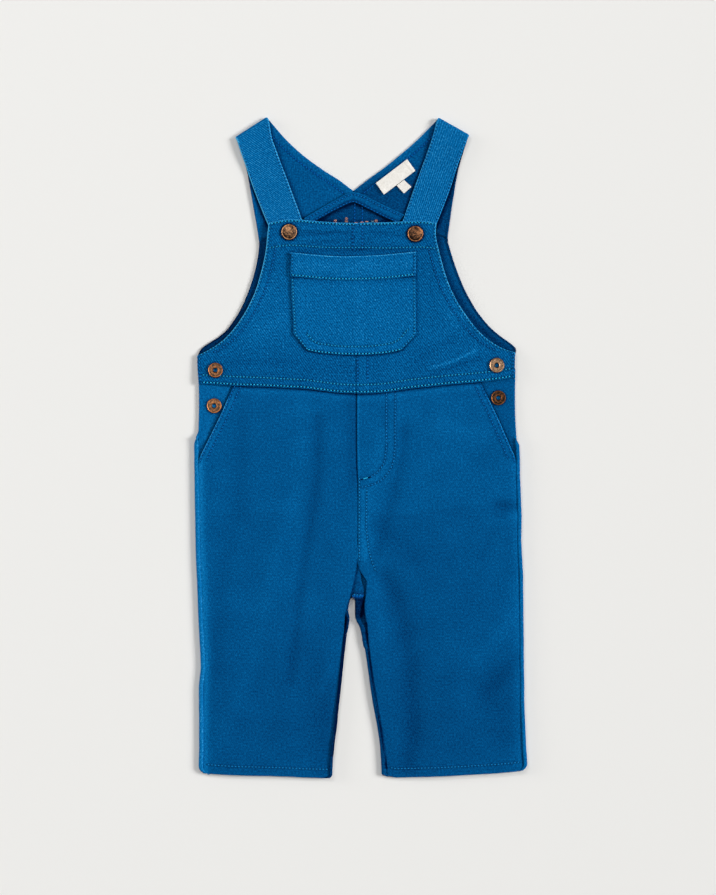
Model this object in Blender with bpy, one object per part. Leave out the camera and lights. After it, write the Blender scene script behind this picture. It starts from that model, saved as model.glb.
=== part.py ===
"""Kids dungarees in cotton twill, laid flat on their back.

The frame has X across the garment, Y up it from the hems to the straps, and Z up from the surface it lies on.
Sizes are in millimetres and become metres as each mesh is made. Left and right are as seen from the front.
A cloth piece is a sheet of points with a wall raised on it; pieces stand a small gap apart at their seams.
"""

from collections import namedtuple
from math import cos, exp, pi, radians, sin

import bmesh
import bpy
from mathutils import Vector
from mathutils.geometry import interpolate_bezier

MM = 0.001

# Cloth, thickness of each kind of wall
TWILL = 1.2
STRAP_WALL = 1.6
FACING_WALL = 1.0
BAND_WALL = 0.8
LABEL_WALL = 1.0
SEAM_GAP = 0.3
LAYER_GAP = 0.35
FACING_GAP = 0.4
STUD_GAP = 0.45

# Heights of the underside of each layer above the surface
FACING_BED = TWILL + LAYER_GAP
SIDE_SEAM_BED = 3.6
WAIST_LEG_BED = FACING_BED + FACING_WALL + FACING_GAP
WAIST_BIB_BED = WAIST_LEG_BED + TWILL + LAYER_GAP
STRAP_BED = STRAP_WALL + LAYER_GAP
TOP_BIB_BED = STRAP_BED + STRAP_WALL + LAYER_GAP
BIB_BED = 2.0
PLACKET_BIB_BED = 3.1
CROTCH_BED = 4.85

# How far a leg's middle stands above its seams, and a hip facing lifts beside the side seam
LEG_FULLNESS = 0.6
FACING_LIFT = 1.75

# Middle seams, across
FRONT_MIDDLE = -2.1
BIB_MIDDLE = -2.4
NECK_MIDDLE = -5.2
NECK_POINT_UP = 195.0

# How far the front stops inside the leg's outline, where the back rolls round to meet it
LEFT_SIDE_STRIP = 3.05
RIGHT_SIDE_STRIP = 2.35
LEFT_INSEAM_STRIP = 2.15
RIGHT_INSEAM_STRIP = 4.1

# How far the legs and hip facings run up under the bib
WAIST_TUCK = 7.0
FACING_TUCK = 6.0

# How far the hem's outer corners turn up from its line
BACK_HEM_CORNER = 1.5
FRONT_HEM_CORNER = 0.8

# Press studs
CAP_DIAMETER = 12.5
CAP_HEIGHT = 2.2
RING_DIAMETER = 11.2
RING_HOLE = 3.3
RING_HEIGHT = 1.1
TURNED_STEPS = 20

BLUE = (0.006, 0.09, 0.30, 1.0)
BLUE_INSIDE = (0.005, 0.06, 0.22, 1.0)
CREAM = (0.78, 0.76, 0.70, 1.0)
COPPER = (0.42, 0.20, 0.10, 1.0)

# Sections of the two back pieces from hem to neck. Above the crotch the two meet at the middle seam.
Back = namedtuple("Back", "up outer_left inner_left inner_right outer_right")
BACK = (
    Back(-247, -122.4, -21.3, 16.1, 126.2),
    Back(-222, -122.7, -19.8, 14.4, 125.4),
    Back(-191, -122.4, -16.0, 8.8, 124.4),
    Back(-161, -121.6, -12.9, 4.6, 123.9),
    Back(-140, -122.4, -10.8, 1.2, 123.9),
    Back(-125, -123.1, -9.3, -2.0, 123.7),
    Back(-113, -123.4, -7.1, -6.7, 123.4),
    Back(-100, -123.9, -4.8, -4.4, 123.1),
    Back(-87, -124.7, -2.4, -2.0, 122.8),
    Back(-60, -125.4, -2.2, -2.2, 122.3),
    Back(-15, -126.2, -2.2, -2.2, 121.0),
    Back(2, -125.8, -2.2, -2.2, 120.1),
    Back(12, -121.8, -2.2, -2.2, 116.2),
    Back(45, -121.4, -2.2, -2.2, 116.0),
    Back(73, -122.4, -2.8, -2.8, 116.8),
    Back(77, -120.6, -3.0, -3.0, 117.4),
    Back(82, -110.6, -3.2, -3.2, 111.0),
    Back(88, -103.4, -3.6, -3.6, 102.6),
    Back(100, -94.2, -4.0, -4.0, 91.2),
    Back(112, -88.2, -4.4, -4.4, 82.8),
    Back(125, -82.8, -4.8, -4.8, 76.8),
    Back(137, -79.8, -5.0, -5.0, 72.2),
    Back(149, -77.6, -5.2, -5.2, 68.4),
    Back(157.5, -76.6, -5.2, -5.2, 66.0),
)

# How the back's edge rolls up and over to the front: the angle it turns, the length of cloth in the turn and
# the flat strip past it
Roll = namedtuple("Roll", "up turn length strip")
LEFT_SIDE_ROLL = (
    Roll(-250, 180, 7.1, 0.4),
    Roll(1, 180, 7.1, 0.4),
    Roll(5, 110, 5.4, 0.3),
    Roll(9, 0, 5.4, 0.3),
)
RIGHT_SIDE_ROLL = (
    Roll(-250, 165, 6.5, 0.3),
    Roll(1, 165, 6.5, 0.3),
    Roll(5, 100, 5.0, 0.3),
    Roll(9, 0, 5.0, 0.3),
)
LEFT_INSEAM_ROLL = (
    Roll(-250, 150, 5.9, 0.3),
    Roll(-125, 150, 5.9, 0.3),
    Roll(-113, 125, 4.9, 0.3),
    Roll(-97, 125, 4.3, 0.3),
    Roll(-88, 110, 3.0, 0.3),
    Roll(-78, 0, 3.0, 0.3),
)
RIGHT_INSEAM_ROLL = (
    Roll(-250, 180, 7.1, 1.3),
    Roll(-125, 180, 7.1, 1.3),
    Roll(-118, 180, 7.1, 3.7),
    Roll(-113, 180, 7.1, 7.6),
    Roll(-105, 180, 7.1, 6.6),
    Roll(-97, 180, 6.6, 6.2),
    Roll(-90, 180, 5.0, 2.4),
    Roll(-86, 180, 4.1, 0.4),
    Roll(-82, 100, 4.1, 0.3),
    Roll(-77, 0, 4.1, 0.3),
)

# Edges of the two front legs. The pocket mouth slants down to the side seam; the crotch edges part below it.
Leg = namedtuple("Leg", "up left right")
POCKET_MOUTH = (
    Leg(56, -92.5, 87.7),
    Leg(47, -96.8, 92.8),
    Leg(28, -105.9, 103.5),
    Leg(11, -114.6, 111.5),
    Leg(-8, -122.8, 118.4),
)
CROTCH = (
    Leg(-79, -2.3, -1.9),
    Leg(-85, -2.3, -1.9),
    Leg(-90, -2.6, 1.0),
    Leg(-97, -3.9, 4.2),
    Leg(-105, -5.5, 3.1),
    Leg(-113, -7.6, 2.6),
    Leg(-118, -9.0, 1.2),
)

# Sections of the bib from its top corners to the side placket
BIB = (
    Leg(171, -69.6, 57.6),
    Leg(153, -71.4, 59.8),
    Leg(135, -74.9, 63.5),
    Leg(120, -79.0, 69.7),
    Leg(106, -85.9, 78.2),
    Leg(92, -96.5, 89.9),
    Leg(80, -108.6, 103.4),
    Leg(73, -119.4, 115.8),
    Leg(70, -123.9, 117.7),
    Leg(60, -123.6, 117.2),
    Leg(48.6, -122.8, 117.4),
)
SIDE_CORNER_ROW = 8

Place = namedtuple("Place", "across up")
BIB_TOP = (
    Place(-69.6, 170.4),
    Place(-54.7, 173.7),
    Place(-28.1, 171.8),
    Place(-2.4, 170.3),
    Place(16.0, 171.0),
    Place(45.6, 172.5),
    Place(57.6, 170.4),
)
WAIST = (
    Place(-122.8, 48.6),
    Place(-95.0, 47.9),
    Place(-67.0, 46.9),
    Place(-40.8, 45.2),
    Place(-14.7, 42.3),
    Place(-0.8, 41.2),
    Place(15.0, 42.6),
    Place(37.7, 45.7),
    Place(63.8, 48.2),
    Place(90.1, 50.9),
    Place(117.4, 54.0),
)
LEFT_HEM = (
    Place(-119.0, -246.8),
    Place(-92.0, -249.0),
    Place(-57.0, -250.0),
    Place(-23.2, -250.6),
)
RIGHT_HEM = (
    Place(19.8, -249.7),
    Place(54.0, -249.9),
    Place(84.4, -248.4),
    Place(123.2, -245.0),
)

POCKET_MOUTH_TOP = (
    Place(-52.7, 148.4),
    Place(-19.0, 145.5),
    Place(14.0, 146.0),
    Place(42.2, 149.0),
)
POCKET_LEFT = (Place(-51.4, 110.0), Place(-50.2, 86.9))
POCKET_RIGHT = (Place(42.9, 110.0), Place(42.9, 86.1))
POCKET_FOOT = (
    Place(-40.4, 74.0),
    Place(-27.0, 71.7),
    Place(-2.3, 70.5),
    Place(18.2, 71.7),
    Place(31.0, 74.2),
)
POCKET_BAND_DROP = 18.2

# The outer edge of a hip facing, by how far inside the rolled side strip it runs. Above the strip's end it
# goes out past the back's edge, where past_strip is below nought.
FACING_FOOT_UP = -50.0
FACING_FOOT_RAMP = 6.0
FACING_EDGE = (
    # up, past_strip
    (FACING_FOOT_UP, 5.0),
    (-30.0, 5.0),
    (-14.0, 5.0),
    (-6.0, 0.45),
    (0.0, 0.45),
    (5.0, 1.6),
    (13.0, 1.6),
    (20.0, -0.6),
    (40.0, -0.6),
)
LEFT_FACING_INNER = -54.0
RIGHT_FACING_INNER = 18.0

# A strap's outline: the wing's two edges from the neck seam up to the shoulder fold, then the front's two
# edges down to the end under the bib
Strap = namedtuple("Strap", "wing_outer wing_inner front_outer front_inner")
LEFT_STRAP = Strap(
    wing_outer=(
        Place(-77.0, 158.2),
        Place(-78.6, 171.0),
        Place(-81.6, 191.0),
        Place(-86.2, 212.0),
        Place(-95.0, 235.6),
    ),
    wing_inner=(
        Place(-5.4, 195.2),
        Place(-16.0, 202.6),
        Place(-25.8, 209.4),
        Place(-42.6, 221.6),
        Place(-56.2, 234.0),
        Place(-70.7, 251.2),
    ),
    front_outer=(
        Place(-95.0, 235.6),
        Place(-88.2, 218.1),
        Place(-80.6, 196.8),
        Place(-70.3, 171.4),
        Place(-63.8, 154.6),
    ),
    front_inner=(
        Place(-70.7, 251.2),
        Place(-66.3, 233.5),
        Place(-60.0, 214.2),
        Place(-44.8, 175.6),
        Place(-37.7, 154.8),
    ),
)
RIGHT_STRAP = Strap(
    wing_outer=(
        Place(66.2, 159.8),
        Place(67.8, 172.0),
        Place(70.2, 190.0),
        Place(74.4, 212.0),
        Place(83.0, 237.9),
    ),
    wing_inner=(
        Place(-5.0, 195.2),
        Place(4.6, 202.6),
        Place(12.9, 209.4),
        Place(28.9, 221.6),
        Place(43.3, 234.0),
        Place(59.3, 251.2),
    ),
    front_outer=(
        Place(83.0, 237.9),
        Place(74.6, 216.6),
        Place(67.2, 196.1),
        Place(57.8, 170.5),
        Place(51.5, 153.6),
    ),
    front_inner=(
        Place(59.3, 251.2),
        Place(54.0, 231.5),
        Place(47.4, 211.7),
        Place(32.6, 172.6),
        Place(25.6, 153.9),
    ),
)
SHOULDER_RADIUS = 2.3
SHOULDER_SETTLE = 45.0

# Facing tape over the neck seam: its upper and lower edges
TAPE_UPPER = (
    Place(-42.8, 174.6),
    Place(-28.1, 183.3),
    Place(-9.6, 193.6),
    Place(-5.2, 194.6),
    Place(-0.4, 193.4),
    Place(16.0, 185.4),
    Place(33.2, 177.2),
)
TAPE_LOWER = (
    Place(-38.6, 169.6),
    Place(-28.0, 175.8),
    Place(-11.2, 184.6),
    Place(-5.2, 187.0),
    Place(1.6, 184.0),
    Place(14.0, 177.8),
    Place(28.0, 170.6),
)

LABEL_CORNERS = (Place(11.6, 201.1), Place(17.9, 192.4), Place(41.8, 210.6), Place(35.5, 219.4))
TAB_CORNERS = (Place(27.4, 199.3), Place(33.1, 193.2), Place(38.8, 198.4), Place(33.1, 203.6))

BIB_SNAPS = {"left": Place(-54.0, 163.9), "right": Place(41.7, 162.5)}
SIDE_SNAPS = {
    "left_upper": Place(-110.0, 59.1),
    "left_lower": Place(-111.0, 32.1),
    "right_upper": Place(103.5, 62.8),
    "right_lower": Place(104.8, 38.1),
}

# Broad folds of the front: a ridge of this height and half width runs from one place to the other, or a
# trough where the height is below nought
Fold = namedtuple("Fold", "across up to_across to_up height half_width")
LEG_FOLDS = (
    Fold(-36.0, 36.0, -38.0, -47.0, 0.6, 8.0),
    Fold(-66.0, -50.0, -64.0, -150.0, 0.9, 15.0),
    Fold(-34.0, -90.0, -36.0, -235.0, -0.7, 14.0),
    Fold(-96.0, 10.0, -100.0, -90.0, -0.5, 14.0),
    Fold(-100.0, -150.0, -98.0, -240.0, 0.5, 16.0),
    Fold(11.4, -92.0, 34.0, -140.0, -1.1, 10.0),
    Fold(34.0, -140.0, 45.0, -235.0, -1.2, 11.0),
    Fold(74.0, -112.0, 72.0, -200.0, 0.8, 15.0),
    Fold(60.0, 30.0, 66.0, -60.0, 0.5, 16.0),
    Fold(88.0, -165.0, 112.0, -128.0, 0.5, 9.0),
    Fold(96.0, -84.0, 116.0, -68.0, -0.6, 9.0),
)
BIB_FOLDS = (
    Fold(50.0, 60.0, 88.0, 72.0, 0.5, 7.0),
    Fold(-104.0, 62.0, -60.0, 58.0, 0.4, 7.0),
)


def ease(t):
    """A smooth step from 0 to 1."""
    t = min(1.0, max(0.0, t))
    return t * t * (3.0 - 2.0 * t)


def ramp(value, start, width):
    """A smooth step from 0 at the start to 1 a width past it."""
    return ease((value - start) / width)


def between(rows, up, column):
    """A table's column at this height up the garment, by straight lines between its rows."""
    rows = sorted(rows, key=lambda row: row.up)
    if up <= rows[0].up:
        return getattr(rows[0], column)
    for low, high in zip(rows, rows[1:]):
        if up <= high.up:
            share = (up - low.up) / (high.up - low.up)
            return getattr(low, column) * (1 - share) + getattr(high, column) * share
    return getattr(rows[-1], column)


def waist_up(across):
    """How far up the waist seam is at this place across."""
    for low, high in zip(WAIST, WAIST[1:]):
        if across <= high.across:
            share = max(0.0, (across - low.across) / (high.across - low.across))
            return low.up * (1 - share) + high.up * share
    return WAIST[-1].up


def fold_height(folds, across, up):
    """The sum of the folds at a place: each fades across its width and past its two ends."""
    total = 0.0
    for fold in folds:
        run = Vector((fold.to_across - fold.across, fold.to_up - fold.up))
        place = Vector((across - fold.across, up - fold.up))
        along = min(1.0, max(0.0, place.dot(run) / run.length_squared))
        off = (place - run * along).length / fold.half_width
        total += fold.height * exp(-2.0 * off * off)
    return total


def smooth(places, steps):
    """steps + 1 points, evenly spaced along a smooth curve through the places."""
    knots = [Vector(place[:2]) for place in places]
    slopes = []
    for k, knot in enumerate(knots):
        before = knots[max(0, k - 1)]
        after = knots[min(len(knots) - 1, k + 1)]
        slopes.append((after - before) / max((after - knot).length + (knot - before).length, 1e-6))
    fine = [knots[0]]
    for k in range(len(knots) - 1):
        reach = (knots[k + 1] - knots[k]).length / 3
        handles = knots[k] + slopes[k] * reach, knots[k + 1] - slopes[k + 1] * reach
        fine += [Vector(point[:2]) for point in interpolate_bezier(knots[k], *handles, knots[k + 1], 13)[1:]]
    return spaced(fine, steps)


def spaced(line, steps):
    """steps + 1 points, evenly spaced along a line of points."""
    lengths = [0.0]
    for a, b in zip(line, line[1:]):
        lengths.append(lengths[-1] + (b - a).length)
    points = []
    piece = 0
    for k in range(steps + 1):
        target = lengths[-1] * k / steps
        while piece < len(line) - 2 and lengths[piece + 1] < target:
            piece += 1
        share = (target - lengths[piece]) / (lengths[piece + 1] - lengths[piece])
        points.append(line[piece].lerp(line[piece + 1], min(1.0, share)))
    return points


def patch(bottom, top, left, right, height):
    """Rows of points that fill the four edges, which share their corners, each at its height."""
    rows = []
    for j, (west, east) in enumerate(zip(left, right)):
        v = j / (len(left) - 1)
        row = []
        for i, (south, north) in enumerate(zip(bottom, top)):
            u = i / (len(bottom) - 1)
            corners = (bottom[0].lerp(bottom[-1], u)).lerp(top[0].lerp(top[-1], u), v)
            place = south.lerp(north, v) + west.lerp(east, u) - corners
            row.append(Vector((place.x, place.y, height(place.x, place.y, u))))
        rows.append(row)
    return rows


def material(name, colour, roughness, metallic=0.0):
    made = bpy.data.materials.new(name)
    made.use_nodes = True
    shader = made.node_tree.nodes["Principled BSDF"]
    shader.inputs["Base Color"].default_value = colour
    shader.inputs["Roughness"].default_value = roughness
    shader.inputs["Metallic"].default_value = metallic
    return made


def finish(name, mesh, colour, roughness, metallic=0.0):
    """Puts the mesh in the scene as a named object with its own material."""
    made = bpy.data.objects.new(name, mesh)
    bpy.context.scene.collection.objects.link(made)
    mesh.materials.append(material(name, colour, roughness, metallic))
    return made


def cloth(name, rows, wall, colour=BLUE):
    """A cloth piece: a sheet through the rows of points, thickened on the side its faces look to."""
    shape = bmesh.new()
    grid = [[shape.verts.new(point * MM) for point in row] for row in rows]
    for low, high in zip(grid, grid[1:]):
        for i in range(len(low) - 1):
            shape.faces.new((low[i], low[i + 1], high[i + 1], high[i]))
    mesh = bpy.data.meshes.new(name)
    shape.to_mesh(mesh)
    shape.free()
    mesh.shade_smooth()
    piece = finish(name, mesh, colour, roughness=0.85)
    thickness = piece.modifiers.new("Wall", "SOLIDIFY")
    thickness.thickness = wall * MM
    thickness.offset = 1.0
    return piece


def rolled(edge, inward, turn, length, strip, steps):
    """The cloth's outer face from the tip of a rolled edge to where it lies flat, as (across, height) pairs.

    edge is the outermost place across that the roll reaches, and inward is +1 or -1."""
    turn = radians(turn)
    bend = turn / length
    points = [(-strip * cos(turn), strip * sin(turn))]
    for k in range(steps + 1):
        run = length * (1 - k / steps)
        if turn < 1e-4:
            points.append((-run, 0.0))
        else:
            points.append((-sin(bend * run) / bend, (1 - cos(bend * run)) / bend))
    tip = points[1]
    points[0] = (tip[0] + points[0][0], tip[1] + points[0][1])
    outermost = min(across for across, height in points)
    return [(edge + inward * (across - outermost), height) for across, height in points]


def back_piece(side):
    """One back, from hem to neck seam, flat on the surface with its edges rolled up to the front."""
    rows_up = 37
    roll_steps = 4
    flat_steps = 3
    outer_table = [(getattr(row, "outer_" + side), row.up) for row in BACK]
    nudge = -SEAM_GAP / 2 if side == "left" else SEAM_GAP / 2
    inner_table = [(getattr(row, "inner_" + side) + nudge, row.up) for row in BACK]
    inner_table.append((NECK_MIDDLE + nudge, NECK_POINT_UP - SEAM_GAP))
    hem = LEFT_HEM if side == "left" else RIGHT_HEM[::-1]
    outer_table[0] = (outer_table[0][0], hem[0].up + BACK_HEM_CORNER)
    inner_table[0] = (inner_table[0][0], hem[-1].up)
    outer = smooth(outer_table, rows_up)
    inner = smooth(inner_table, rows_up)
    inward = 1 if side == "left" else -1
    outer_rolls = LEFT_SIDE_ROLL if side == "left" else RIGHT_SIDE_ROLL
    inner_rolls = LEFT_INSEAM_ROLL if side == "left" else RIGHT_INSEAM_ROLL
    sheet = []
    for row, (side_edge, middle_edge) in enumerate(zip(outer, inner)):
        turns = []
        for edge, direction, table in ((side_edge, inward, outer_rolls), (middle_edge, -inward, inner_rolls)):
            values = [between(table, edge.y, column) for column in ("turn", "length", "strip")]
            turns.append(rolled(edge.x, direction, *values, roll_steps))
        start, end = turns[0], turns[1][::-1]
        flat_from, flat_to = start[-1][0], end[0][0]
        flat = [(flat_from + (flat_to - flat_from) * k / flat_steps, 0.0) for k in range(1, flat_steps)]
        section = start + flat + end
        line = []
        for across, height in section:
            share = (across - side_edge.x) / (middle_edge.x - side_edge.x)
            up = side_edge.y * (1 - share) + middle_edge.y * share
            if row == 0:
                up = hem_up(hem, across)
            line.append(Vector((across, up, height)))
        sheet.append(line if side == "left" else line[::-1])
    return cloth("back_" + side, sheet, TWILL)


def hem_up(hem, across):
    """How far up a leg's hem is at this place across."""
    places = sorted(hem)
    if across <= places[0].across:
        return places[0].up
    for low, high in zip(places, places[1:]):
        if across <= high.across:
            share = (across - low.across) / (high.across - low.across)
            return low.up * (1 - share) + high.up * share
    return places[-1].up


def facing_bed(across, up, u=0.5):
    """Height of a hip facing's underside: on the back, and lifted to meet the side seam's rolled edge."""
    side_edge = between(BACK, up, "outer_left") if across < 0 else between(BACK, up, "outer_right")
    beside_roll = 1 - ramp(abs(across - side_edge), start=4.0, width=10.0)
    along_roll = ramp(up, start=-18.0, width=8.0) * (1 - ramp(up, start=4.0, width=10.0))
    return FACING_BED + FACING_LIFT * beside_roll * along_roll


def leg_bed(across, up, u):
    """Height of a front leg's underside."""
    from_edge = min(u, 1 - u)
    free = SIDE_SEAM_BED + LEG_FULLNESS * ramp(from_edge, start=0.0, width=0.14)
    free += fold_height(LEG_FOLDS, across, up) * ramp(from_edge, start=0.0, width=0.11)
    beside_crotch = 1 - ramp(abs(across - FRONT_MIDDLE), start=6.0, width=9.0)
    along_crotch = ramp(up, start=-134.0, width=8.0) * (1 - ramp(up, start=-86.0, width=8.0))
    free += (CROTCH_BED - SIDE_SEAM_BED) * beside_crotch * along_crotch
    below_waist = waist_up(across) - up
    level = WAIST_LEG_BED + (free - WAIST_LEG_BED) * ramp(below_waist, start=1.0, width=22.0)
    if up > FACING_FOOT_UP - FACING_FOOT_RAMP:
        level = max(level, facing_bed(across, up) + FACING_WALL + FACING_GAP)
    return level


def bib_bed(across, up, u=0.5):
    """Height of the bib's underside: over the strap ends at its top and over the legs at the waist."""
    top = ramp(up, start=132.0, width=18.0)
    at_side = ramp(abs(across - BIB_MIDDLE), start=96.0, width=10.0)
    waist_level = WAIST_BIB_BED * (1 - at_side) + PLACKET_BIB_BED * at_side
    waist = 1 - ramp(up - waist_up(across), start=9.0, width=18.0)
    level = BIB_BED + (TOP_BIB_BED - BIB_BED) * top + (waist_level - BIB_BED) * waist
    return level + fold_height(BIB_FOLDS, across, up) * (1 - waist) * (1 - top)


def hip_facing(side):
    """The facing that shows outside a pocket mouth, with the pocket bag under the leg."""
    rows_up = 12
    inward = 1 if side == "left" else -1
    outer_column = "outer_" + side
    strip = LEFT_SIDE_STRIP if side == "left" else RIGHT_SIDE_STRIP
    outer = []
    for up, past_strip in FACING_EDGE:
        inset = past_strip if past_strip < 0 else strip + past_strip
        outer.append((between(BACK, up, outer_column) + inward * inset, up))
    side_x = outer[-1][0]
    top_up = waist_up(side_x) + FACING_TUCK
    outer.append((side_x, top_up))
    inner_x = LEFT_FACING_INNER if side == "left" else RIGHT_FACING_INNER
    inner_top = waist_up(inner_x) + FACING_TUCK
    inner = ((inner_x, FACING_FOOT_UP - 2.0), (inner_x, inner_top))
    edges = [smooth(outer, rows_up), smooth(inner, rows_up)]
    if side == "right":
        edges.reverse()
    ends = [smooth((edges[0][k], edges[1][k]), 6) for k in (0, -1)]
    return cloth("hip_facing_" + side, patch(ends[0], ends[1], *edges, facing_bed), FACING_WALL)


def front_leg(side):
    """One front leg, from under the bib's lower edge down to the hem."""
    rows_up = 30
    columns = 11
    sign = 1 if side == "left" else -1
    strip = LEFT_SIDE_STRIP if side == "left" else RIGHT_SIDE_STRIP
    inseam_strip = LEFT_INSEAM_STRIP if side == "left" else RIGHT_INSEAM_STRIP
    hem = LEFT_HEM if side == "left" else RIGHT_HEM[::-1]
    lower = [row for row in BACK if row.up < -10.0]
    outer = [(getattr(row, "outer_" + side) + sign * strip, row.up) for row in lower]
    outer += [(getattr(row, side), row.up) for row in reversed(POCKET_MOUTH)]
    outer[0] = (outer[0][0], hem[0].up + FRONT_HEM_CORNER)
    inner = [(getattr(row, "inner_" + side) - sign * inseam_strip, row.up) for row in BACK if row.up < -120.0]
    inner += [(getattr(row, side), row.up) for row in reversed(CROTCH)]
    middle = FRONT_MIDDLE - sign * SEAM_GAP / 2
    inner += [(middle, -60.0), (middle, waist_up(middle) + WAIST_TUCK)]
    inner[0] = (inner[0][0], hem[-1].up)
    edges = [smooth(outer, rows_up), smooth(inner, rows_up)]
    across = [edges[0][-1].x, edges[1][-1].x]
    steps = range(1, 6)
    tuck = [(across[0] + (across[1] - across[0]) * k / 6, 0.0) for k in steps]
    tuck = [(x, waist_up(x) + WAIST_TUCK) for x, up in tuck]
    top = smooth([edges[0][-1], *tuck, edges[1][-1]], columns)
    bottom = smooth([edges[0][0], *[place for place in hem[1:-1]], edges[1][0]], columns)
    if side == "right":
        edges.reverse()
        top.reverse()
        bottom.reverse()
    return cloth("front_leg_" + side, patch(bottom, top, *edges, leg_bed), TWILL)


def bib_half(side):
    """Half of the bib, from its top hem down to the waist seam."""
    rows_up = 15
    columns = 9
    sign = 1 if side == "left" else -1
    middle = BIB_MIDDLE - sign * SEAM_GAP / 2
    armhole = [(getattr(row, side), row.up) for row in BIB]
    side_rows = 3
    outer = smooth(armhole[SIDE_CORNER_ROW:][::-1], side_rows)[:-1] + smooth(
        armhole[: SIDE_CORNER_ROW + 1][::-1], rows_up - side_rows
    )
    top_line = [place for place in BIB_TOP if sign * (place.across - middle) < -5.0]
    waist_line = [place for place in WAIST if sign * (place.across - middle) < -5.0]
    if side == "right":
        top_line.reverse()
        waist_line.reverse()
    top_line[0] = outer[-1]
    waist_line[0] = outer[0]
    top_middle = (middle, BIB_TOP[3].up)
    waist_middle = (middle, waist_up(middle))
    top = smooth([*top_line, top_middle], columns)
    bottom = smooth([*waist_line, waist_middle], columns)
    inner = smooth((waist_middle, top_middle), rows_up)
    edges = [outer, inner]
    if side == "right":
        edges.reverse()
        top.reverse()
        bottom.reverse()
    return cloth("bib_" + side, patch(bottom, top, *edges, bib_bed), TWILL)


def chest_pocket():
    """The patch pocket, made from the bib's own points moved out."""
    rows_up = 9
    bevel_rows = 2
    top = smooth(POCKET_MOUTH_TOP, 12)
    foot = smooth(POCKET_FOOT, 12)
    edges = []
    for corner, side, start in ((foot[0], POCKET_LEFT, top[0]), (foot[-1], POCKET_RIGHT, top[-1])):
        bevel = smooth((corner, side[1]), bevel_rows)
        edges.append(bevel[:-1] + smooth((side[1], side[0], start), rows_up - bevel_rows))

    def bed(across, up, u):
        return bib_bed(across, up) + TWILL + LAYER_GAP

    return cloth("chest_pocket", patch(foot, top, *edges, bed), TWILL)


def chest_pocket_band():
    """The turned band along the pocket's mouth, made from the pocket's points moved out."""
    top = smooth(POCKET_MOUTH_TOP, 12)
    foot = [place + Vector((0.0, -POCKET_BAND_DROP)) for place in top]
    left, right = (spaced([foot[k], top[k]], 3) for k in (0, -1))

    def bed(across, up, u):
        return bib_bed(across, up) + 2 * (TWILL + LAYER_GAP)

    return cloth("chest_pocket_band", patch(foot, top, left, right, bed), BAND_WALL)


def strap(side):
    """A strap with its back wing: flat from neck seam to shoulder, folded over and down to the bib."""
    outline = LEFT_STRAP if side == "left" else RIGHT_STRAP
    wing_rows = 11
    fold_rows = 6
    front_rows = 13
    columns = 4
    outer_tip, inner_tip = (Vector(places[-1]) for places in (outline.wing_outer, outline.wing_inner))
    along = (inner_tip - outer_tip).normalized()
    outward = Vector((-along.y, along.x)) if side == "left" else Vector((along.y, -along.x))
    back_off = outward * SHOULDER_RADIUS
    wing = [
        smooth([*outline.wing_outer[:-1], outer_tip - back_off], wing_rows),
        smooth([*outline.wing_inner[:-1], inner_tip - back_off], wing_rows),
    ]
    front = [
        smooth([outer_tip - back_off, *outline.front_outer[1:]], front_rows),
        smooth([inner_tip - back_off, *outline.front_inner[1:]], front_rows),
    ]
    rows = []
    for a, b in zip(*wing):
        rows.append([a.lerp(b, k / columns).to_3d() for k in range(columns + 1)])
    for step in range(1, fold_rows):
        angle = pi * step / fold_rows
        rise = Vector((0.0, 0.0, SHOULDER_RADIUS * (1 - cos(angle))))
        reach = (outward * SHOULDER_RADIUS * sin(angle)).to_3d()
        fold_line = [wing[0][-1].lerp(wing[1][-1], k / columns) for k in range(columns + 1)]
        rows.append([place.to_3d() + reach + rise for place in fold_line])
    rest = STRAP_BED + STRAP_WALL
    for a, b in zip(*front):
        row = []
        for k in range(columns + 1):
            place = a.lerp(b, k / columns)
            settled = ease((place - wing[0][-1].lerp(wing[1][-1], k / columns)).length / SHOULDER_SETTLE)
            height = 2 * SHOULDER_RADIUS * (1 - settled) + rest * settled
            row.append(Vector((place.x, place.y, height)))
        rows.append(row)
    if side == "right":
        rows = [row[::-1] for row in rows]
    return cloth("strap_" + side, rows, STRAP_WALL)


def neck_tape():
    """The facing tape that covers the neck seam, an upturned V."""
    steps = 16
    upper = smooth(TAPE_UPPER, steps)
    lower = smooth(TAPE_LOWER, steps)
    left, right = (spaced([lower[k], upper[k]], 2) for k in (0, -1))
    rows = patch(lower, upper, left, right, lambda across, up, u: STRAP_BED)
    return cloth("back_seam_facing", rows, TWILL, BLUE_INSIDE)


def flat_label(name, corners):
    """A small woven label on the right wing."""
    a, b, c, d = (Vector(corner) for corner in corners)
    bed = STRAP_BED
    rows = []
    for v in (0.0, 0.5, 1.0):
        west, east = a.lerp(d, v), b.lerp(c, v)
        rows.append([Vector((*west.lerp(east, u), bed)) for u in (0.0, 0.5, 1.0)])
    if (b - a).cross(d - a) < 0:
        rows = [row[::-1] for row in rows]
    return cloth(name, rows, LABEL_WALL, CREAM)


def turned(name, profile, place, base):
    """A turned metal piece: a profile of (radius, height) pairs, in millimetres, spun about its own axis."""
    mesh = bpy.data.meshes.new(name)
    points = [(radius * MM, 0.0, height * MM) for radius, height in profile]
    edges = [(k, k + 1) for k in range(len(points) - 1)]
    if profile[-1][0] > 0:
        edges.append((len(points) - 1, 0))
    mesh.from_pydata(points, edges, [])
    piece = finish(name, mesh, COPPER, roughness=0.35, metallic=1.0)
    piece.location = (place.across * MM, place.up * MM, base * MM)
    spin = piece.modifiers.new("Spin", "SCREW")
    spin.steps = TURNED_STEPS
    spin.render_steps = TURNED_STEPS
    spin.use_merge_vertices = True
    spin.merge_threshold = 0.00001
    return piece


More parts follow.
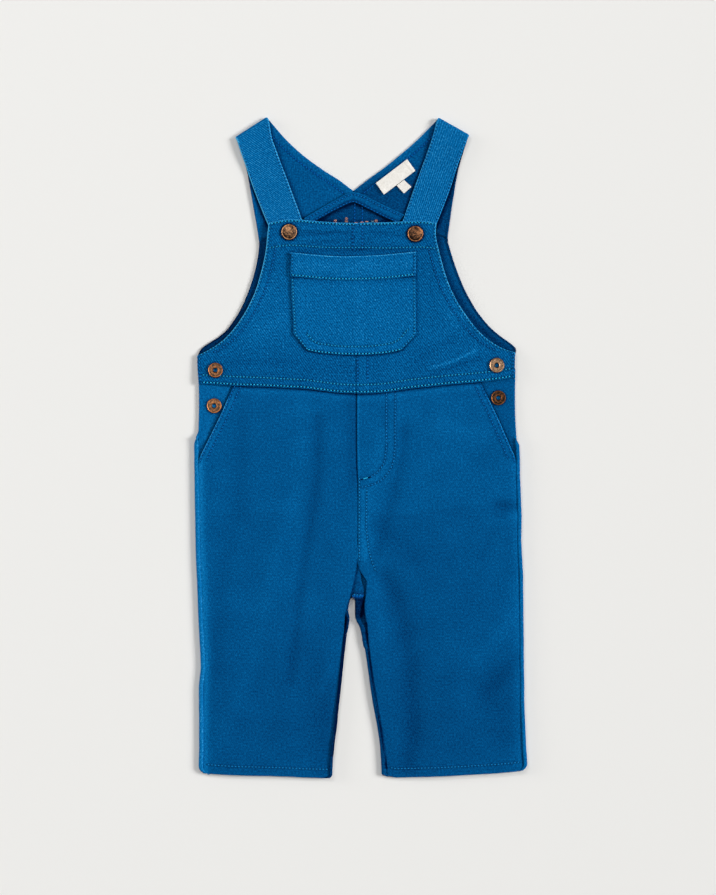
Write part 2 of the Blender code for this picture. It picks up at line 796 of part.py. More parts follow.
def seat(place, bed, wall, radius):
    """The highest the cloth under a stud reaches, plus the gap."""
    rims = [(place.across, place.up)]
    for k in range(12):
        rims.append((place.across + radius * cos(k * pi / 6), place.up + radius * sin(k * pi / 6)))
    return max(bed(across, up) for across, up in rims) + wall + STUD_GAP


def snap_cap(name, place):
    """A domed press-stud cap with a rounded rim."""
    radius = CAP_DIAMETER / 2
    profile = [
        (0.0, CAP_HEIGHT),
        (radius * 0.45, CAP_HEIGHT - 0.12),
        (radius * 0.78, CAP_HEIGHT - 0.45),
        (radius * 0.95, CAP_HEIGHT - 0.95),
        (radius, CAP_HEIGHT - 1.5),
        (radius * 0.96, 0.2),
        (radius * 0.86, 0.0),
        (0.0, 0.0),
    ]
    return turned(name, profile, place, seat(place, bib_bed, TWILL, radius))


def snap_ring(name, place, bed, wall):
    """An open ring stud with a rounded lip at its rim and at its hole."""
    outer = RING_DIAMETER / 2
    hole = RING_HOLE / 2
    profile = [
        (hole, RING_HEIGHT - 0.3),
        (hole + 0.8, RING_HEIGHT - 0.15),
        (outer - 1.2, RING_HEIGHT - 0.25),
        (outer - 0.6, RING_HEIGHT),
        (outer, RING_HEIGHT - 0.5),
        (outer - 0.1, 0.0),
        (hole, 0.0),
    ]
    return turned(name, profile, place, seat(place, bed, wall, outer))


def build():
    for item in list(bpy.data.objects):
        bpy.data.objects.remove(item, do_unlink=True)
    for side in ("left", "right"):
        back_piece(side)
        hip_facing(side)
        front_leg(side)
        bib_half(side)
        strap(side)
        snap_cap("bib_snap_" + side, BIB_SNAPS[side])
    chest_pocket()
    chest_pocket_band()
    neck_tape()
    flat_label("label", LABEL_CORNERS)
    flat_label("size_tab", TAB_CORNERS)
    for spot, place in SIDE_SNAPS.items():
        upper = spot.endswith("upper")
        bed, wall = (bib_bed, TWILL) if upper else (facing_bed, FACING_WALL)
        snap_ring("side_snap_" + spot, place, bed, wall)


build()
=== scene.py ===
"""Kids dungarees in blue cotton twill, laid flat on their back.

Each cloth piece is made again on the form of its solid: its outline and heights are read from the frame, and
it then gets rounded edges, seams, folds and its sewing. Sizes are in millimetres until a mesh is made. X runs
across the garment, Y up it and Z up from the floor. Left and right are as seen from the front.

A sheet's tone makes its cloth lighter above nothing and darker below it, and its lift is added to its height.
Most of the tone is painted light and shade: painted shadows beside edges and in grooves, seams and hollows,
painted highlights on edges, ridges and fells, and broad painted light and shade over the folds.
"""

from collections import namedtuple
from math import cos, pi, radians, sin, sqrt

import bmesh
import bpy
import numpy as np
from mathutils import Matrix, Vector, noise
from mathutils.bvhtree import BVHTree


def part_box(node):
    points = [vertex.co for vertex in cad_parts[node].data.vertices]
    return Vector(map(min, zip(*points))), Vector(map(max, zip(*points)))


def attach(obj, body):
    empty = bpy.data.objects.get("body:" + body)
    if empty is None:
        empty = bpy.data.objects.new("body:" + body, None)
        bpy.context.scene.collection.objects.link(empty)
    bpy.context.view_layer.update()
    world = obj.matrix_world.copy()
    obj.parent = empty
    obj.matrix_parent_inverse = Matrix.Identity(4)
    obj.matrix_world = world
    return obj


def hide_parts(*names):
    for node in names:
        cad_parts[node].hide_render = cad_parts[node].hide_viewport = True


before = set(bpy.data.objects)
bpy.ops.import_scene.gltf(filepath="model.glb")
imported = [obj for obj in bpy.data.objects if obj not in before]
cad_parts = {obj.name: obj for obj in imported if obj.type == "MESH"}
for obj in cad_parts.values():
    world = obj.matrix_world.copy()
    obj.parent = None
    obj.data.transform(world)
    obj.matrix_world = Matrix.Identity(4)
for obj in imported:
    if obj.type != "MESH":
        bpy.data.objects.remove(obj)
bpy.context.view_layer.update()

MM = 0.001

# Cloth and sewing
WALL = 0.9
STRAP_WALL = 1.2
LABEL_WALL = 0.5
EDGE_RADIUS = 0.55
STITCH_PITCH = 2.55
GRID_PITCH = 1.3
LABEL_PITCH = 0.8
STRAP_PITCH = 1.6
GROOVE = 0.16
SIDES = ("bottom", "right", "top", "left")
EDGE_LINES = (0.0, 0.12, 0.32, 0.6, 0.95, 1.35, 1.8, 2.4, 3.2, 4.1, 5.0, 5.8, 6.5, 7.2, 8.0)
EDGE_ROW = 1.25

# Where seams and sewing run, across or up
BIB_MIDDLE = -2.4
MOUTH_FOOT_UP = -10.0
CROTCH_UP = -88.0
POCKET_TOP_UP = 149.0
POCKET_FOOT_UP = 70.0
UPPER_FELL = (-5.7, 1.5)
LOWER_FELL = (-2.1, 5.4)


# ---------------------------------------- shapes of numbers


def ramp(value, start, width):
    """A smooth step from 0 at the start to 1 a width past it."""
    t = np.clip((np.asarray(value, float) - start) / width, 0.0, 1.0)
    return t * t * (3.0 - 2.0 * t)


def bell(value, middle, half_width):
    return np.exp(-(((value - middle) / half_width) ** 2))


def rounded(distance, radius=EDGE_RADIUS):
    """How far the cloth's face drops towards its edge, as a quarter round."""
    inside = radius - np.clip(distance, 0.0, radius)
    return np.sqrt(np.maximum(radius**2 - inside**2, 0.0)) - radius


def ripple(x, y, scale, seed=0.0):
    """Even noise from about -1 to 1 over places in the plan."""
    flat = [noise.noise((a / scale, b / scale, seed)) for a, b in zip(x.ravel(), y.ravel())]
    return np.array(flat).reshape(x.shape) * 1.6


def along(line, share):
    """Places at these shares of a line's length."""
    steps = np.concatenate([[0.0], np.cumsum(np.linalg.norm(np.diff(line, axis=0), axis=1))])
    return np.stack([np.interp(share * steps[-1], steps, line[:, k]) for k in range(line.shape[1])], axis=-1)


def length_of(line):
    return float(np.linalg.norm(np.diff(line, axis=0), axis=1).sum())


def spline(points, step=1.0, corner=28.0):
    """A smooth line through the points in small steps. A turn sharper than the corner angle stays one."""
    points = np.array(points, float)
    moved = np.linalg.norm(np.diff(points, axis=0), axis=1) > 1e-4
    points = points[np.concatenate([[True], moved])]
    chords = np.diff(points, axis=0)
    lengths = np.linalg.norm(chords, axis=1)
    slopes = chords / lengths[:, None]
    turns = np.degrees(np.arccos(np.clip((slopes[1:] * slopes[:-1]).sum(1), -1, 1)))
    before = np.concatenate([slopes[:1], slopes])
    after = np.concatenate([slopes, slopes[-1:]])
    for k, turn in enumerate(turns, 1):
        if turn < corner:
            a, b = lengths[k - 1], lengths[k]
            before[k] = after[k] = (slopes[k - 1] * b + slopes[k] * a) / (a + b)
    line = [points[:1]]
    for k, size in enumerate(lengths):
        t = np.linspace(0, 1, max(2, int(np.ceil(size / step)) + 1))[1:, None]
        start, end = points[k], points[k + 1]
        bend_out, bend_in = after[k] * size, before[k + 1] * size
        line.append(
            (2 * t**3 - 3 * t**2 + 1) * start
            + (t**3 - 2 * t**2 + t) * bend_out
            + (3 * t**2 - 2 * t**3) * end
            + (t**3 - t**2) * bend_in
        )
    return np.concatenate(line)


def distance_to(line, x, y):
    """Distance in the plan from each place to a line of points."""
    best = np.full(x.shape, 1e9)
    for (ax, ay), (bx, by) in zip(line, line[1:]):
        dx, dy = bx - ax, by - ay
        t = np.clip(((x - ax) * dx + (y - ay) * dy) / max(dx * dx + dy * dy, 1e-9), 0, 1)
        best = np.minimum(best, np.hypot(x - ax - t * dx, y - ay - t * dy))
    return best


# ---------------------------------------- reading the solids


def face_below(tree, x, y):
    """The place and normal of a face straight below, or of the nearest one where there is none."""
    place, normal = tree.ray_cast((x, y, 100.0), (0.0, 0.0, -1.0))[:2]
    if place is None:
        place, normal = tree.find_nearest((x, y, 4.0))[:2]
    return place, normal


def faces_up(face):
    return face.normal.z > 0.5


class Solid:
    """A node's merged mesh in millimetres, for reading its outline and heights."""

    def __init__(self, name):
        self.shape = bmesh.new()
        self.shape.from_mesh(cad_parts[name].data)
        bmesh.ops.remove_doubles(self.shape, verts=self.shape.verts, dist=1e-6)
        bmesh.ops.scale(self.shape, vec=(1 / MM,) * 3, verts=self.shape.verts)
        self.shape.normal_update()
        self.shape.verts.ensure_lookup_table()
        self.tree = BVHTree.FromBMesh(self.shape)

    def outline(self, wanted=faces_up):
        """The longest loop round the wanted faces, as places in the plan."""
        ahead = {}
        for face in self.shape.faces:
            for loop in face.loops if wanted(face) else ():
                other = loop.link_loop_radial_next.face
                if other is face or not wanted(other):
                    ahead[loop.vert.index] = loop.link_loop_next.vert.index
        loops = []
        while ahead:
            start, here = ahead.popitem()
            ring = [start]
            while here != start and here in ahead:
                ring.append(here)
                here = ahead.pop(here)
            loops.append(np.array([self.shape.verts[k].co.xy for k in ring]))
        return max(loops, key=lambda ring: length_of(ring))

    def sides(self, corners, wanted=faces_up):
        """The outline's bottom, right, top and left edges, cut at four corners given in that turn."""
        ring = self.outline(wanted)
        area = (ring[:, 0] * np.roll(ring[:, 1], -1) - ring[:, 1] * np.roll(ring[:, 0], -1)).sum()
        if area < 0:
            ring = ring[::-1]
        at = [int(((ring - np.array(corner)) ** 2).sum(1).argmin()) for corner in corners]
        edges = []
        for start, end in zip(at, at[1:] + at[:1]):
            stop = end if end > start else end + len(ring)
            edges.append(ring[[k % len(ring) for k in range(start, stop + 1)]])
        bottom, right, top, left = edges
        return bottom, right, top[::-1], left[::-1]

    def top(self, x, y):
        """Height of the solid's face straight below each place."""
        heights = [face_below(self.tree, a, b)[0].z for a, b in zip(x.ravel(), y.ravel())]
        return np.array(heights).reshape(x.shape)

    def reach(self, up):
        """How far the solid runs to -X and +X at this height up the garment."""
        hits = []
        for edge in self.shape.edges:
            a, b = (vert.co for vert in edge.verts)
            if (a.y - up) * (b.y - up) <= 0 and a.y != b.y:
                hits.append(a.lerp(b, (up - a.y) / (b.y - a.y)).x)
        return min(hits), max(hits)


# ---------------------------------------- sheets


def smoothed(height, passes):
    """Averages a grid of heights with its neighbours, so that the solid's facets go."""
    for _ in range(passes):
        for axis in (0, 1):
            wide = np.pad(height, [(1, 1) if k == axis else (0, 0) for k in (0, 1)], mode="edge")
            low, high = (np.take(wide, range(k, k + height.shape[axis]), axis=axis) for k in (0, 2))
            height = (low + 2 * height + high) / 4
    return height


class Patch:
    """A sheet of places between four edges, with its lines closer together beside them."""

    def __init__(self, sides, pitch=GRID_PITCH):
        self.edges = dict(zip(SIDES, (spline(side) for side in sides)))
        middle = np.array([0.5])
        wide = float(np.linalg.norm(self.across(middle)))
        tall = float(np.linalg.norm(self.upward(middle)))
        columns = self.shares(wide, wide, pitch)
        rows = self.shares(tall, tall, pitch)
        widths = np.linalg.norm(self.across(rows), axis=-1)
        heights = np.linalg.norm(self.upward(columns), axis=-1)
        self.u = np.stack([self.shares(width, wide, pitch) for width in widths])
        self.v = np.stack([self.shares(height, tall, pitch) for height in heights], axis=1)
        places = self.at(self.u, self.v)
        self.x, self.y = places[..., 0], places[..., 1]
        self.left, self.right = self.u * widths[:, None], (1 - self.u) * widths[:, None]
        self.bottom, self.top = self.v * heights, (1 - self.v) * heights

    def across(self, v):
        return along(self.edges["right"], v) - along(self.edges["left"], v)

    def upward(self, u):
        return along(self.edges["top"], u) - along(self.edges["bottom"], u)

    @staticmethod
    def shares(width, usual, pitch):
        """Shares across a width: near lines at their own distance from both ends, even ones between."""
        near = np.array([line for line in EDGE_LINES if line < 0.3 * usual])
        start = near / max(width, 3.0 * near[-1])
        count = max(2, round((usual - 2 * near[-1]) / pitch))
        between = start[-1] + (1 - 2 * start[-1]) * np.arange(1, count) / count
        return np.concatenate([start, between, 1 - start[::-1]])

    def at(self, u, v):
        bottom, right, top, left = (self.edges[side] for side in SIDES)
        south, north, west, east = along(bottom, u), along(top, u), along(left, v), along(right, v)
        u, v = u[..., None], v[..., None]
        corners = (bottom[0] * (1 - u) + bottom[-1] * u) * (1 - v) + (top[0] * (1 - u) + top[-1] * u) * v
        return south * (1 - v) + north * v + west * (1 - u) + east * u - corners

    def row(self, side, inset, start=0.0, end=0.0):
        """A line along one side and inset from it, short of the side's ends by start and end."""
        size = length_of(self.edges[side])
        run = np.linspace(start / size, 1 - end / size, max(2, int(size / 3)))
        if side in ("left", "right"):
            inward = inset / np.linalg.norm(self.across(run), axis=-1)
            return self.at(inward if side == "left" else 1 - inward, run)
        inward = inset / np.linalg.norm(self.upward(run), axis=-1)
        return self.at(run, inward if side == "bottom" else 1 - inward)

    def heights(self, solid, passes=24):
        """The solid's top under each place, read a little inside the edges."""
        inset = 0.7 / 60
        u, v = np.clip(self.u, inset, 1 - inset), np.clip(self.v, inset, 1 - inset)
        places = self.at(u, v)
        return smoothed(solid.top(places[..., 0], places[..., 1]), passes)


def mesh_object(name, mesh, material):
    made = bpy.data.objects.new(name, mesh)
    bpy.context.scene.collection.objects.link(made)
    mesh.materials.append(material)
    mesh.shade_smooth()
    return made


def quads_of(grid):
    """The faces of a grid of points, as rows of four."""
    rows, columns = grid.shape[:2]
    ids = np.arange(rows * columns).reshape(rows, columns)
    return np.stack([ids[:-1, :-1], ids[:-1, 1:], ids[1:, 1:], ids[1:, :-1]], axis=-1).reshape(-1, 4)


def give_points(mesh, name, values):
    """A number for each point of a mesh, for its material."""
    shade = mesh.attributes.new(name, "FLOAT", "POINT")
    shade.data.foreach_set("value", np.asarray(values, np.float32).ravel())


def sheet_object(name, grid, cloth, tone, material, wall, offset=-1.0):
    """A sheet through a grid of points, with the place of each on the flat cloth and its tone."""
    quads = quads_of(grid)
    mesh = bpy.data.meshes.new(name)
    mesh.from_pydata((grid.reshape(-1, 3) * MM).tolist(), [], quads.tolist())
    chart = mesh.uv_layers.new(name="Cloth")
    chart.uv.foreach_set("vector", (cloth.reshape(-1, 2)[quads.ravel()] * MM).astype(np.float32).ravel())
    give_points(mesh, "tone", tone)
    piece = mesh_object(name, mesh, material)
    thickness = piece.modifiers.new("Wall", "SOLIDIFY")
    thickness.thickness = wall * MM
    thickness.offset = offset
    return piece


def ground_of(grid):
    """The tree of a sheet's upper face, in millimetres, for laying things on it."""
    return BVHTree.FromPolygons(grid.reshape(-1, 3).tolist(), quads_of(grid).tolist())


# ---------------------------------------- materials


def node(tree, kind, inputs=None, **settings):
    """Adds a node. An input given a socket is linked to it, and any other value is set."""
    made = tree.nodes.new(kind)
    for key, value in settings.items():
        setattr(made, key, value)
    for key, value in (inputs or {}).items():
        if isinstance(value, bpy.types.NodeSocket):
            tree.links.new(value, made.inputs[key])
        else:
            made.inputs[key].default_value = value
    return made


def maths(tree, operation, a, b=0.0, c=0.0):
    made = node(tree, "ShaderNodeMath", operation=operation)
    for socket, value in zip(made.inputs, (a, b, c)):
        if isinstance(value, bpy.types.NodeSocket):
            tree.links.new(value, socket)
        else:
            socket.default_value = value
    return made.outputs[0]


def linear(*srgb):
    """A colour from its 0 to 255 values."""
    return tuple((v / 255 / 12.92 if v <= 10 else ((v / 255 + 0.055) / 1.055) ** 2.4) for v in srgb) + (1.0,)


def new_material(name, roughness, specular=0.5):
    """A material with its tree of nodes and its shader."""
    made = bpy.data.materials.new(name)
    made.use_nodes = True
    shader = made.node_tree.nodes["Principled BSDF"]
    shader.inputs["Roughness"].default_value = roughness
    shader.inputs["Specular IOR Level"].default_value = specular
    return made, made.node_tree, shader


def point_value(tree, name):
    """The value that a mesh's points carry under this name."""
    return node(tree, "ShaderNodeAttribute", attribute_name=name).outputs["Fac"]


def noisy(tree, place, scale, detail):
    sizes = {"Vector": place, "Scale": scale, "Detail": detail}
    return node(tree, "ShaderNodeTexNoise", sizes).outputs["Fac"]


def centred(tree, value):
    """Noise from 0 to 1 moved so that its middle is nothing."""
    return maths(tree, "SUBTRACT", value, 0.5)


def mix(tree, factor, a, b):
    return node(tree, "ShaderNodeMix", {"Factor": factor, "A": a, "B": b}, data_type="RGBA").outputs["Result"]


def bump(tree, shader, height, strength=0.4):
    """Very fine relief of the surface, 0.05 mm at most."""
    relief = node(tree, "ShaderNodeBump", {"Height": height, "Strength": strength, "Distance": 0.05 * MM})
    tree.links.new(relief.outputs["Normal"], shader.inputs["Normal"])


def twill_group():
    """Diagonal wales of a twill, from the place on the cloth: their light and shade, and their height."""
    group = bpy.data.node_groups.new("Twill weave", "ShaderNodeTree")
    for name, kind in (("Cloth", "NodeSocketVector"), ("Wale", "NodeSocketFloat")):
        group.interface.new_socket(name, in_out="INPUT", socket_type=kind)
    for name in ("Wales", "Grain", "Cloud", "Height"):
        group.interface.new_socket(name, in_out="OUTPUT", socket_type="NodeSocketFloat")
    inside = node(group, "NodeGroupInput")
    cloth = inside.outputs["Cloth"]
    place = node(group, "ShaderNodeSeparateXYZ", {"Vector": cloth})
    x, y = place.outputs["X"], place.outputs["Y"]
    sway = maths(group, "MULTIPLY", centred(group, noisy(group, cloth, 260.0, 2.0)), 3.0)
    turn = maths(group, "DIVIDE", 2 * pi * MM, inside.outputs["Wale"])
    diagonal = maths(group, "MULTIPLY_ADD", x, 0.82 / MM**2, maths(group, "MULTIPLY", y, 0.57 / MM**2))
    wale = maths(group, "SINE", maths(group, "MULTIPLY_ADD", diagonal, turn, sway))
    steep = maths(group, "MULTIPLY_ADD", x, 0.5 / MM**2, maths(group, "MULTIPLY", y, -0.86 / MM**2))
    yarn_turn = maths(group, "MULTIPLY", turn, 1.9)
    yarn = maths(group, "SINE", maths(group, "MULTIPLY_ADD", steep, yarn_turn, sway))
    weave = maths(group, "MULTIPLY_ADD", yarn, 0.25, wale)
    rough = maths(group, "MULTIPLY", centred(group, noisy(group, cloth, 760.0, 0.5)), 4.5)
    height = maths(group, "MULTIPLY_ADD", rough, 0.5, weave)
    ends = node(group, "NodeGroupOutput")
    results = {"Wales": weave, "Grain": rough, "Cloud": noisy(group, cloth, 55.0, 3.0), "Height": height}
    for name, socket in results.items():
        group.links.new(socket, ends.inputs[name])
    return group


TWILL = twill_group()


def twill(name, level=0.0, wale=1.3, wales=0.12, grain=0.1):
    """Blue cotton twill. The level makes it lighter or darker. Where a sheet is calm its wales show less."""
    made, tree, shader = new_material(name, 0.92, 0.01)
    chart = node(tree, "ShaderNodeUVMap", uv_map="Cloth")
    places = {"Cloth": chart.outputs["UV"], "Wale": wale}
    weave = node(tree, "ShaderNodeGroup", places, node_tree=TWILL).outputs
    strength = maths(tree, "MULTIPLY_ADD", point_value(tree, "calm"), -wales, wales)
    ribbed = maths(tree, "MULTIPLY_ADD", weave["Wales"], strength, 0.5 + level)
    base = maths(tree, "MULTIPLY_ADD", weave["Grain"], grain, ribbed)
    cloudy = maths(tree, "MULTIPLY_ADD", centred(tree, weave["Cloud"]), 0.12, base)
    light = maths(tree, "ADD", cloudy, point_value(tree, "tone"))
    colour = node(tree, "ShaderNodeValToRGB", {"Fac": light})
    shades = colour.color_ramp.elements
    shades[0].color = linear(0, 19, 56)
    shades[1].color = linear(70, 175, 226)
    for position, shade in ((0.25, (1, 55, 103)), (0.5, (2, 84, 141)), (0.75, (10, 118, 184))):
        shades.new(position).color = linear(*shade)
    tree.links.new(colour.outputs["Color"], shader.inputs["Base Color"])
    bump(tree, shader, weave["Height"])
    shader.inputs["Sheen Weight"].default_value = 0.03
    shader.inputs["Sheen Roughness"].default_value = 0.5
    shader.inputs["Sheen Tint"].default_value = linear(40, 170, 230)
    return made


def thread(name, colour, dark, sunk):
    """Sewing thread: painted shade at the needle holes where a stitch dips into the cloth, and the sunk
    colour where its row is dull.
    """
    made, tree, shader = new_material(name, 0.8, 0.03)
    dull = point_value(tree, "dull")
    place = node(tree, "ShaderNodeTexCoord")
    twist = noisy(tree, place.outputs["Object"], 900.0, 2.0)
    lit = mix(tree, twist, tuple(0.8 * v for v in colour[:3]) + (1.0,), colour)
    faded = mix(tree, dull, lit, sunk)
    # Painted shade at each stitch's ends, weaker where the row is dull
    deep = maths(tree, "MULTIPLY", point_value(tree, "dip"), maths(tree, "MULTIPLY_ADD", dull, -0.38, 1.0))
    tree.links.new(mix(tree, deep, faded, dark), shader.inputs["Base Color"])
    bump(tree, shader, twist)
    return made


def woven_tape():
    """Cream satin label tape with a fine plain weave."""
    made, tree, shader = new_material("Label tape", 0.6)
    cloth = node(tree, "ShaderNodeUVMap", uv_map="Cloth").outputs["UV"]
    place = node(tree, "ShaderNodeSeparateXYZ", {"Vector": cloth})
    across = maths(tree, "SINE", maths(tree, "MULTIPLY", place.outputs["X"], 2 * pi / (0.45 * MM)))
    down = maths(tree, "SINE", maths(tree, "MULTIPLY", place.outputs["Y"], 2 * pi / (0.6 * MM)))
    weave = maths(tree, "MULTIPLY", across, down)
    shade = maths(tree, "MULTIPLY_ADD", weave, 0.1, noisy(tree, cloth, 700.0, 3.0))
    light = maths(tree, "ADD", shade, point_value(tree, "tone"))
    colour = mix(tree, light, linear(222, 217, 208), linear(255, 253, 247))
    tree.links.new(colour, shader.inputs["Base Color"])
    bump(tree, shader, weave)
    return made


def copper(metal):
    """Antique copper: brown tarnish in the hollows and brighter metal where it is worn. The value on its
    points also carries painted highlights and painted shadow at the studs' rims.
    """
    made, tree, shader = new_material(metal.title, metal.roughness)
    place = node(tree, "ShaderNodeTexCoord").outputs["Object"]
    scratch = noisy(tree, place, 1900.0, 4.0)
    blot = maths(tree, "MULTIPLY_ADD", centred(tree, noisy(tree, place, 640.0, 6.0)), 2.0, metal.bare)
    # The points' value is wear plus painted highlights and painted shadow at the rims
    shade = maths(tree, "ADD", blot, point_value(tree, "wear_and_painted_light"))
    colour = mix(tree, shade, linear(*metal.dark), linear(*metal.light))
    tree.links.new(colour, shader.inputs["Base Color"])
    rough = maths(tree, "MULTIPLY_ADD", scratch, 0.25, metal.roughness)
    tree.links.new(rough, shader.inputs["Roughness"])
    bump(tree, shader, scratch, 0.25)
    shader.inputs["Metallic"].default_value = 1.0
    return made


THREAD = thread("Topstitch thread", linear(48, 204, 255), linear(1, 5, 42), linear(4, 98, 182))
FRONT_TWILL = twill("Twill front", wales=0.035, grain=0.1)
BIB_TWILL = twill("Twill bib", wale=1.55, wales=0.12, grain=0.15)
# The strap's level is painted sheen: a lighter copy of the same twill for how its grain catches the light
STRAP_TWILL = twill("Twill strap", level=0.1, wales=0.17, grain=0.12)
POCKET_TWILL = twill("Twill pocket", level=0.07, wale=1.55, wales=0.11, grain=0.14)
INSIDE_TWILL = twill("Twill inside", level=-0.08, wales=0.04, grain=0.11)


# ---------------------------------------- sewing


def stitch_shape(length, width, height):
    """One stitch along X: points, faces and how far each point is into the cloth."""
    half = ((0.5, 1.1, 0.05, 1.0), (0.25, 1.15, 0.1, 1.0), (0.2, 0.9, 0.45, 0.0))
    stations = [(-share, *rest) for share, *rest in half] + [(0.0, 1.0, 0.7, 0.0)] + list(half[::-1])
    sides = 5
    points, dips = [], []
    for share, size, rise, dip in stations:
        for k in range(sides):
            turn = 2 * pi * k / sides
            y = width / 2 * size * cos(turn)
            points.append((share * length, y, rise * height + height / 2 * size * sin(turn)))
            dips.append(dip)
    faces = []
    for ring in range(len(stations) - 1):
        for k in range(sides):
            a, b = ring * sides + k, ring * sides + (k + 1) % sides
            faces.append((a, b, b + sides, a + sides))
    last = (len(stations) - 1) * sides
    faces += [tuple(range(sides))[::-1], tuple(range(last, last + sides))]
    return np.array(points), [face[::-1] for face in faces], dips


def sew(name, runs, material=THREAD, width=0.8, height=0.36):
    """Stitches along each run of points that lies on its ground, all in one piece.

    A run is its line, its ground, its pitch and how dull it is.
    """
    points, faces, dips, dulls = [], [], [], []
    for line, ground, pitch, dull in runs:
        steps = max(1, round(length_of(line) / pitch))
        places = along(line, np.linspace(0, 1, steps + 1))
        shape, shape_faces, shape_dips = stitch_shape(length_of(line) / steps, width, height)
        ends = []
        for x, y in places:
            place, normal = face_below(ground, x, y)
            ends.append((Vector((x, y, place.z)), normal if normal.z > 0 else -normal))
        for (a, normal_a), (b, normal_b) in zip(ends, ends[1:]):
            run = (b - a).normalized()
            side = (normal_a + normal_b).cross(run).normalized()
            axes = np.array([run, side, run.cross(side)])
            first = len(points)
            points += (shape @ axes + np.array((a + b) / 2)).tolist()
            faces += [tuple(first + k for k in face) for face in shape_faces]
            dips += shape_dips
            dulls += [max(dull, 0.0)] * len(shape_dips)
    mesh = bpy.data.meshes.new(name)
    mesh.from_pydata((np.array(points) * MM).tolist(), [], faces)
    give_points(mesh, "dip", dips)
    give_points(mesh, "dull", dulls)
    piece = mesh_object(name, mesh, material)
    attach(piece, "root")
    return piece


# ---------------------------------------- cloth pieces


def bed_of_rows(patch, rows):
    """The lift and tone that sewn rows give the cloth: a groove with painted shade in it, and puckers on both
    sides with painted light and shade on them.
    """
    lift = np.zeros(patch.x.shape)
    tone = np.zeros(patch.x.shape)
    if not rows:
        return lift, tone
    pucker = ripple(patch.x, patch.y, 3.4, 4.0)
    for line in rows:
        away = distance_to(line[:: max(1, len(line) // 40)], patch.x, patch.y)
        lift -= GROOVE * bell(away, 0.0, 0.75)
        lift += 0.12 * pucker * bell(away, 0.0, 2.6)
        # Painted shade in the groove, and painted light and shade on the puckers
        tone -= 0.17 * bell(away, 0.0, 0.9) - 0.04 * pucker * bell(away, 0.0, 2.8)
    return lift, tone


# A crease of the cloth: how high its ridge is or how deep its trough, how wide, and where it runs
Fold = namedtuple("Fold", "height half_width line")
LEG_CREASES = (
    Fold(
        -0.55, 4.5,
        ((-31.9, 22), (-32.7, -20), (-36.5, -47), (-41, -74), (-45.6, -108), (-50, -146), (-53, -176))
    ),
    Fold(
        0.22, 6.0,
        ((-45.6, 30), (-48.6, -32), (-59, -62), (-71, -104), (-79, -150), (-94, -191), (-109, -226))
    ),
    Fold(-0.3, 6.5, ((-90, 28), (-90, -25), (-98, -65), (-107, -110), (-108, -145), (-108, -165))),
    Fold(-0.28, 5.0, ((-9, 34), (-8, -30))),
    Fold(-0.3, 12.0, ((-38, -150), (-30, -200), (-27, -240))),
    Fold(0.35, 3.5, ((-23.5, -167), (-30.5, -184))),
    Fold(0.3, 6.5, ((16, 8), (9, -30), (4, -62), (2, -83))),
    Fold(-0.5, 5.0, ((33.4, 14), (29, -17), (24.3, -39), (18.2, -58), (13.7, -78))),
    Fold(
        -0.6, 7.0,
        ((19.8, -98), (28, -115), (32.7, -134), (36.5, -157), (39.5, -191), (40.3, -214), (37.2, -241))
    ),
    Fold(0.12, 4.0, ((9, -97), (18, -150), (24, -200), (26, -240))),
    Fold(-0.25, 8.0, ((12, -58), (42, -80))),
    Fold(0.22, 9.0, ((67, -146), (91, -169))),
    Fold(-0.36, 11.0, ((97, -165), (112, -220))),
    Fold(-0.45, 4.0, ((104, -42), (122, -45))),
    Fold(0.35, 5.0, ((99, -57), (122, -50))),
    Fold(-0.3, 6.0, ((92, -82), (108, -46))),
    Fold(0.35, 7.0, ((91, -160), (112, -131))),
    Fold(-0.45, 7.0, ((95, -185), (118, -161))),
    Fold(0.25, 9.0, ((60, 18), (92, 8))),
)
BIB_CREASES = (
    Fold(1.1, 1.4, ((54, 61.0), (71, 66), (87, 74))),
    Fold(-0.5, 2.2, ((56, 56.5), (90, 68.5))),
    Fold(-0.3, 4.0, ((48, 72), (70, 82))),
    Fold(0.22, 3.5, ((-99, 60), (-46, 60))),
    Fold(-0.15, 4.0, ((-96, 64), (-60, 66))),
    Fold(0.35, 1.6, ((-44, 166), (-12, 167))),
    Fold(-0.45, 1.4, ((-45, 162.4), (-10, 163.4))),
    Fold(0.3, 1.5, ((-44, 158.6), (-14, 160))),
    Fold(-0.35, 1.4, ((-40, 155.4), (-16, 156.6))),
    Fold(-0.3, 1.8, ((8, 163.5), (34, 161))),
    Fold(0.25, 1.8, ((10, 159), (30, 157.5))),
    Fold(0.25, 6.0, ((-74, 124), (-86, 100))),
    Fold(0.3, 6.0, ((64, 118), (72, 96))),
    Fold(-0.2, 5.0, ((50, 132), (58, 110))),
    Fold(0.2, 6.0, ((-60, 100), (-84, 84))),
)


def creased(patch, folds):
    """Ridges and troughs that run through their places and fade across their width."""
    lift = np.zeros(patch.x.shape)
    for fold in folds:
        lift += fold.height * bell(distance_to(fold.line, patch.x, patch.y), 0.0, fold.half_width)
    return lift


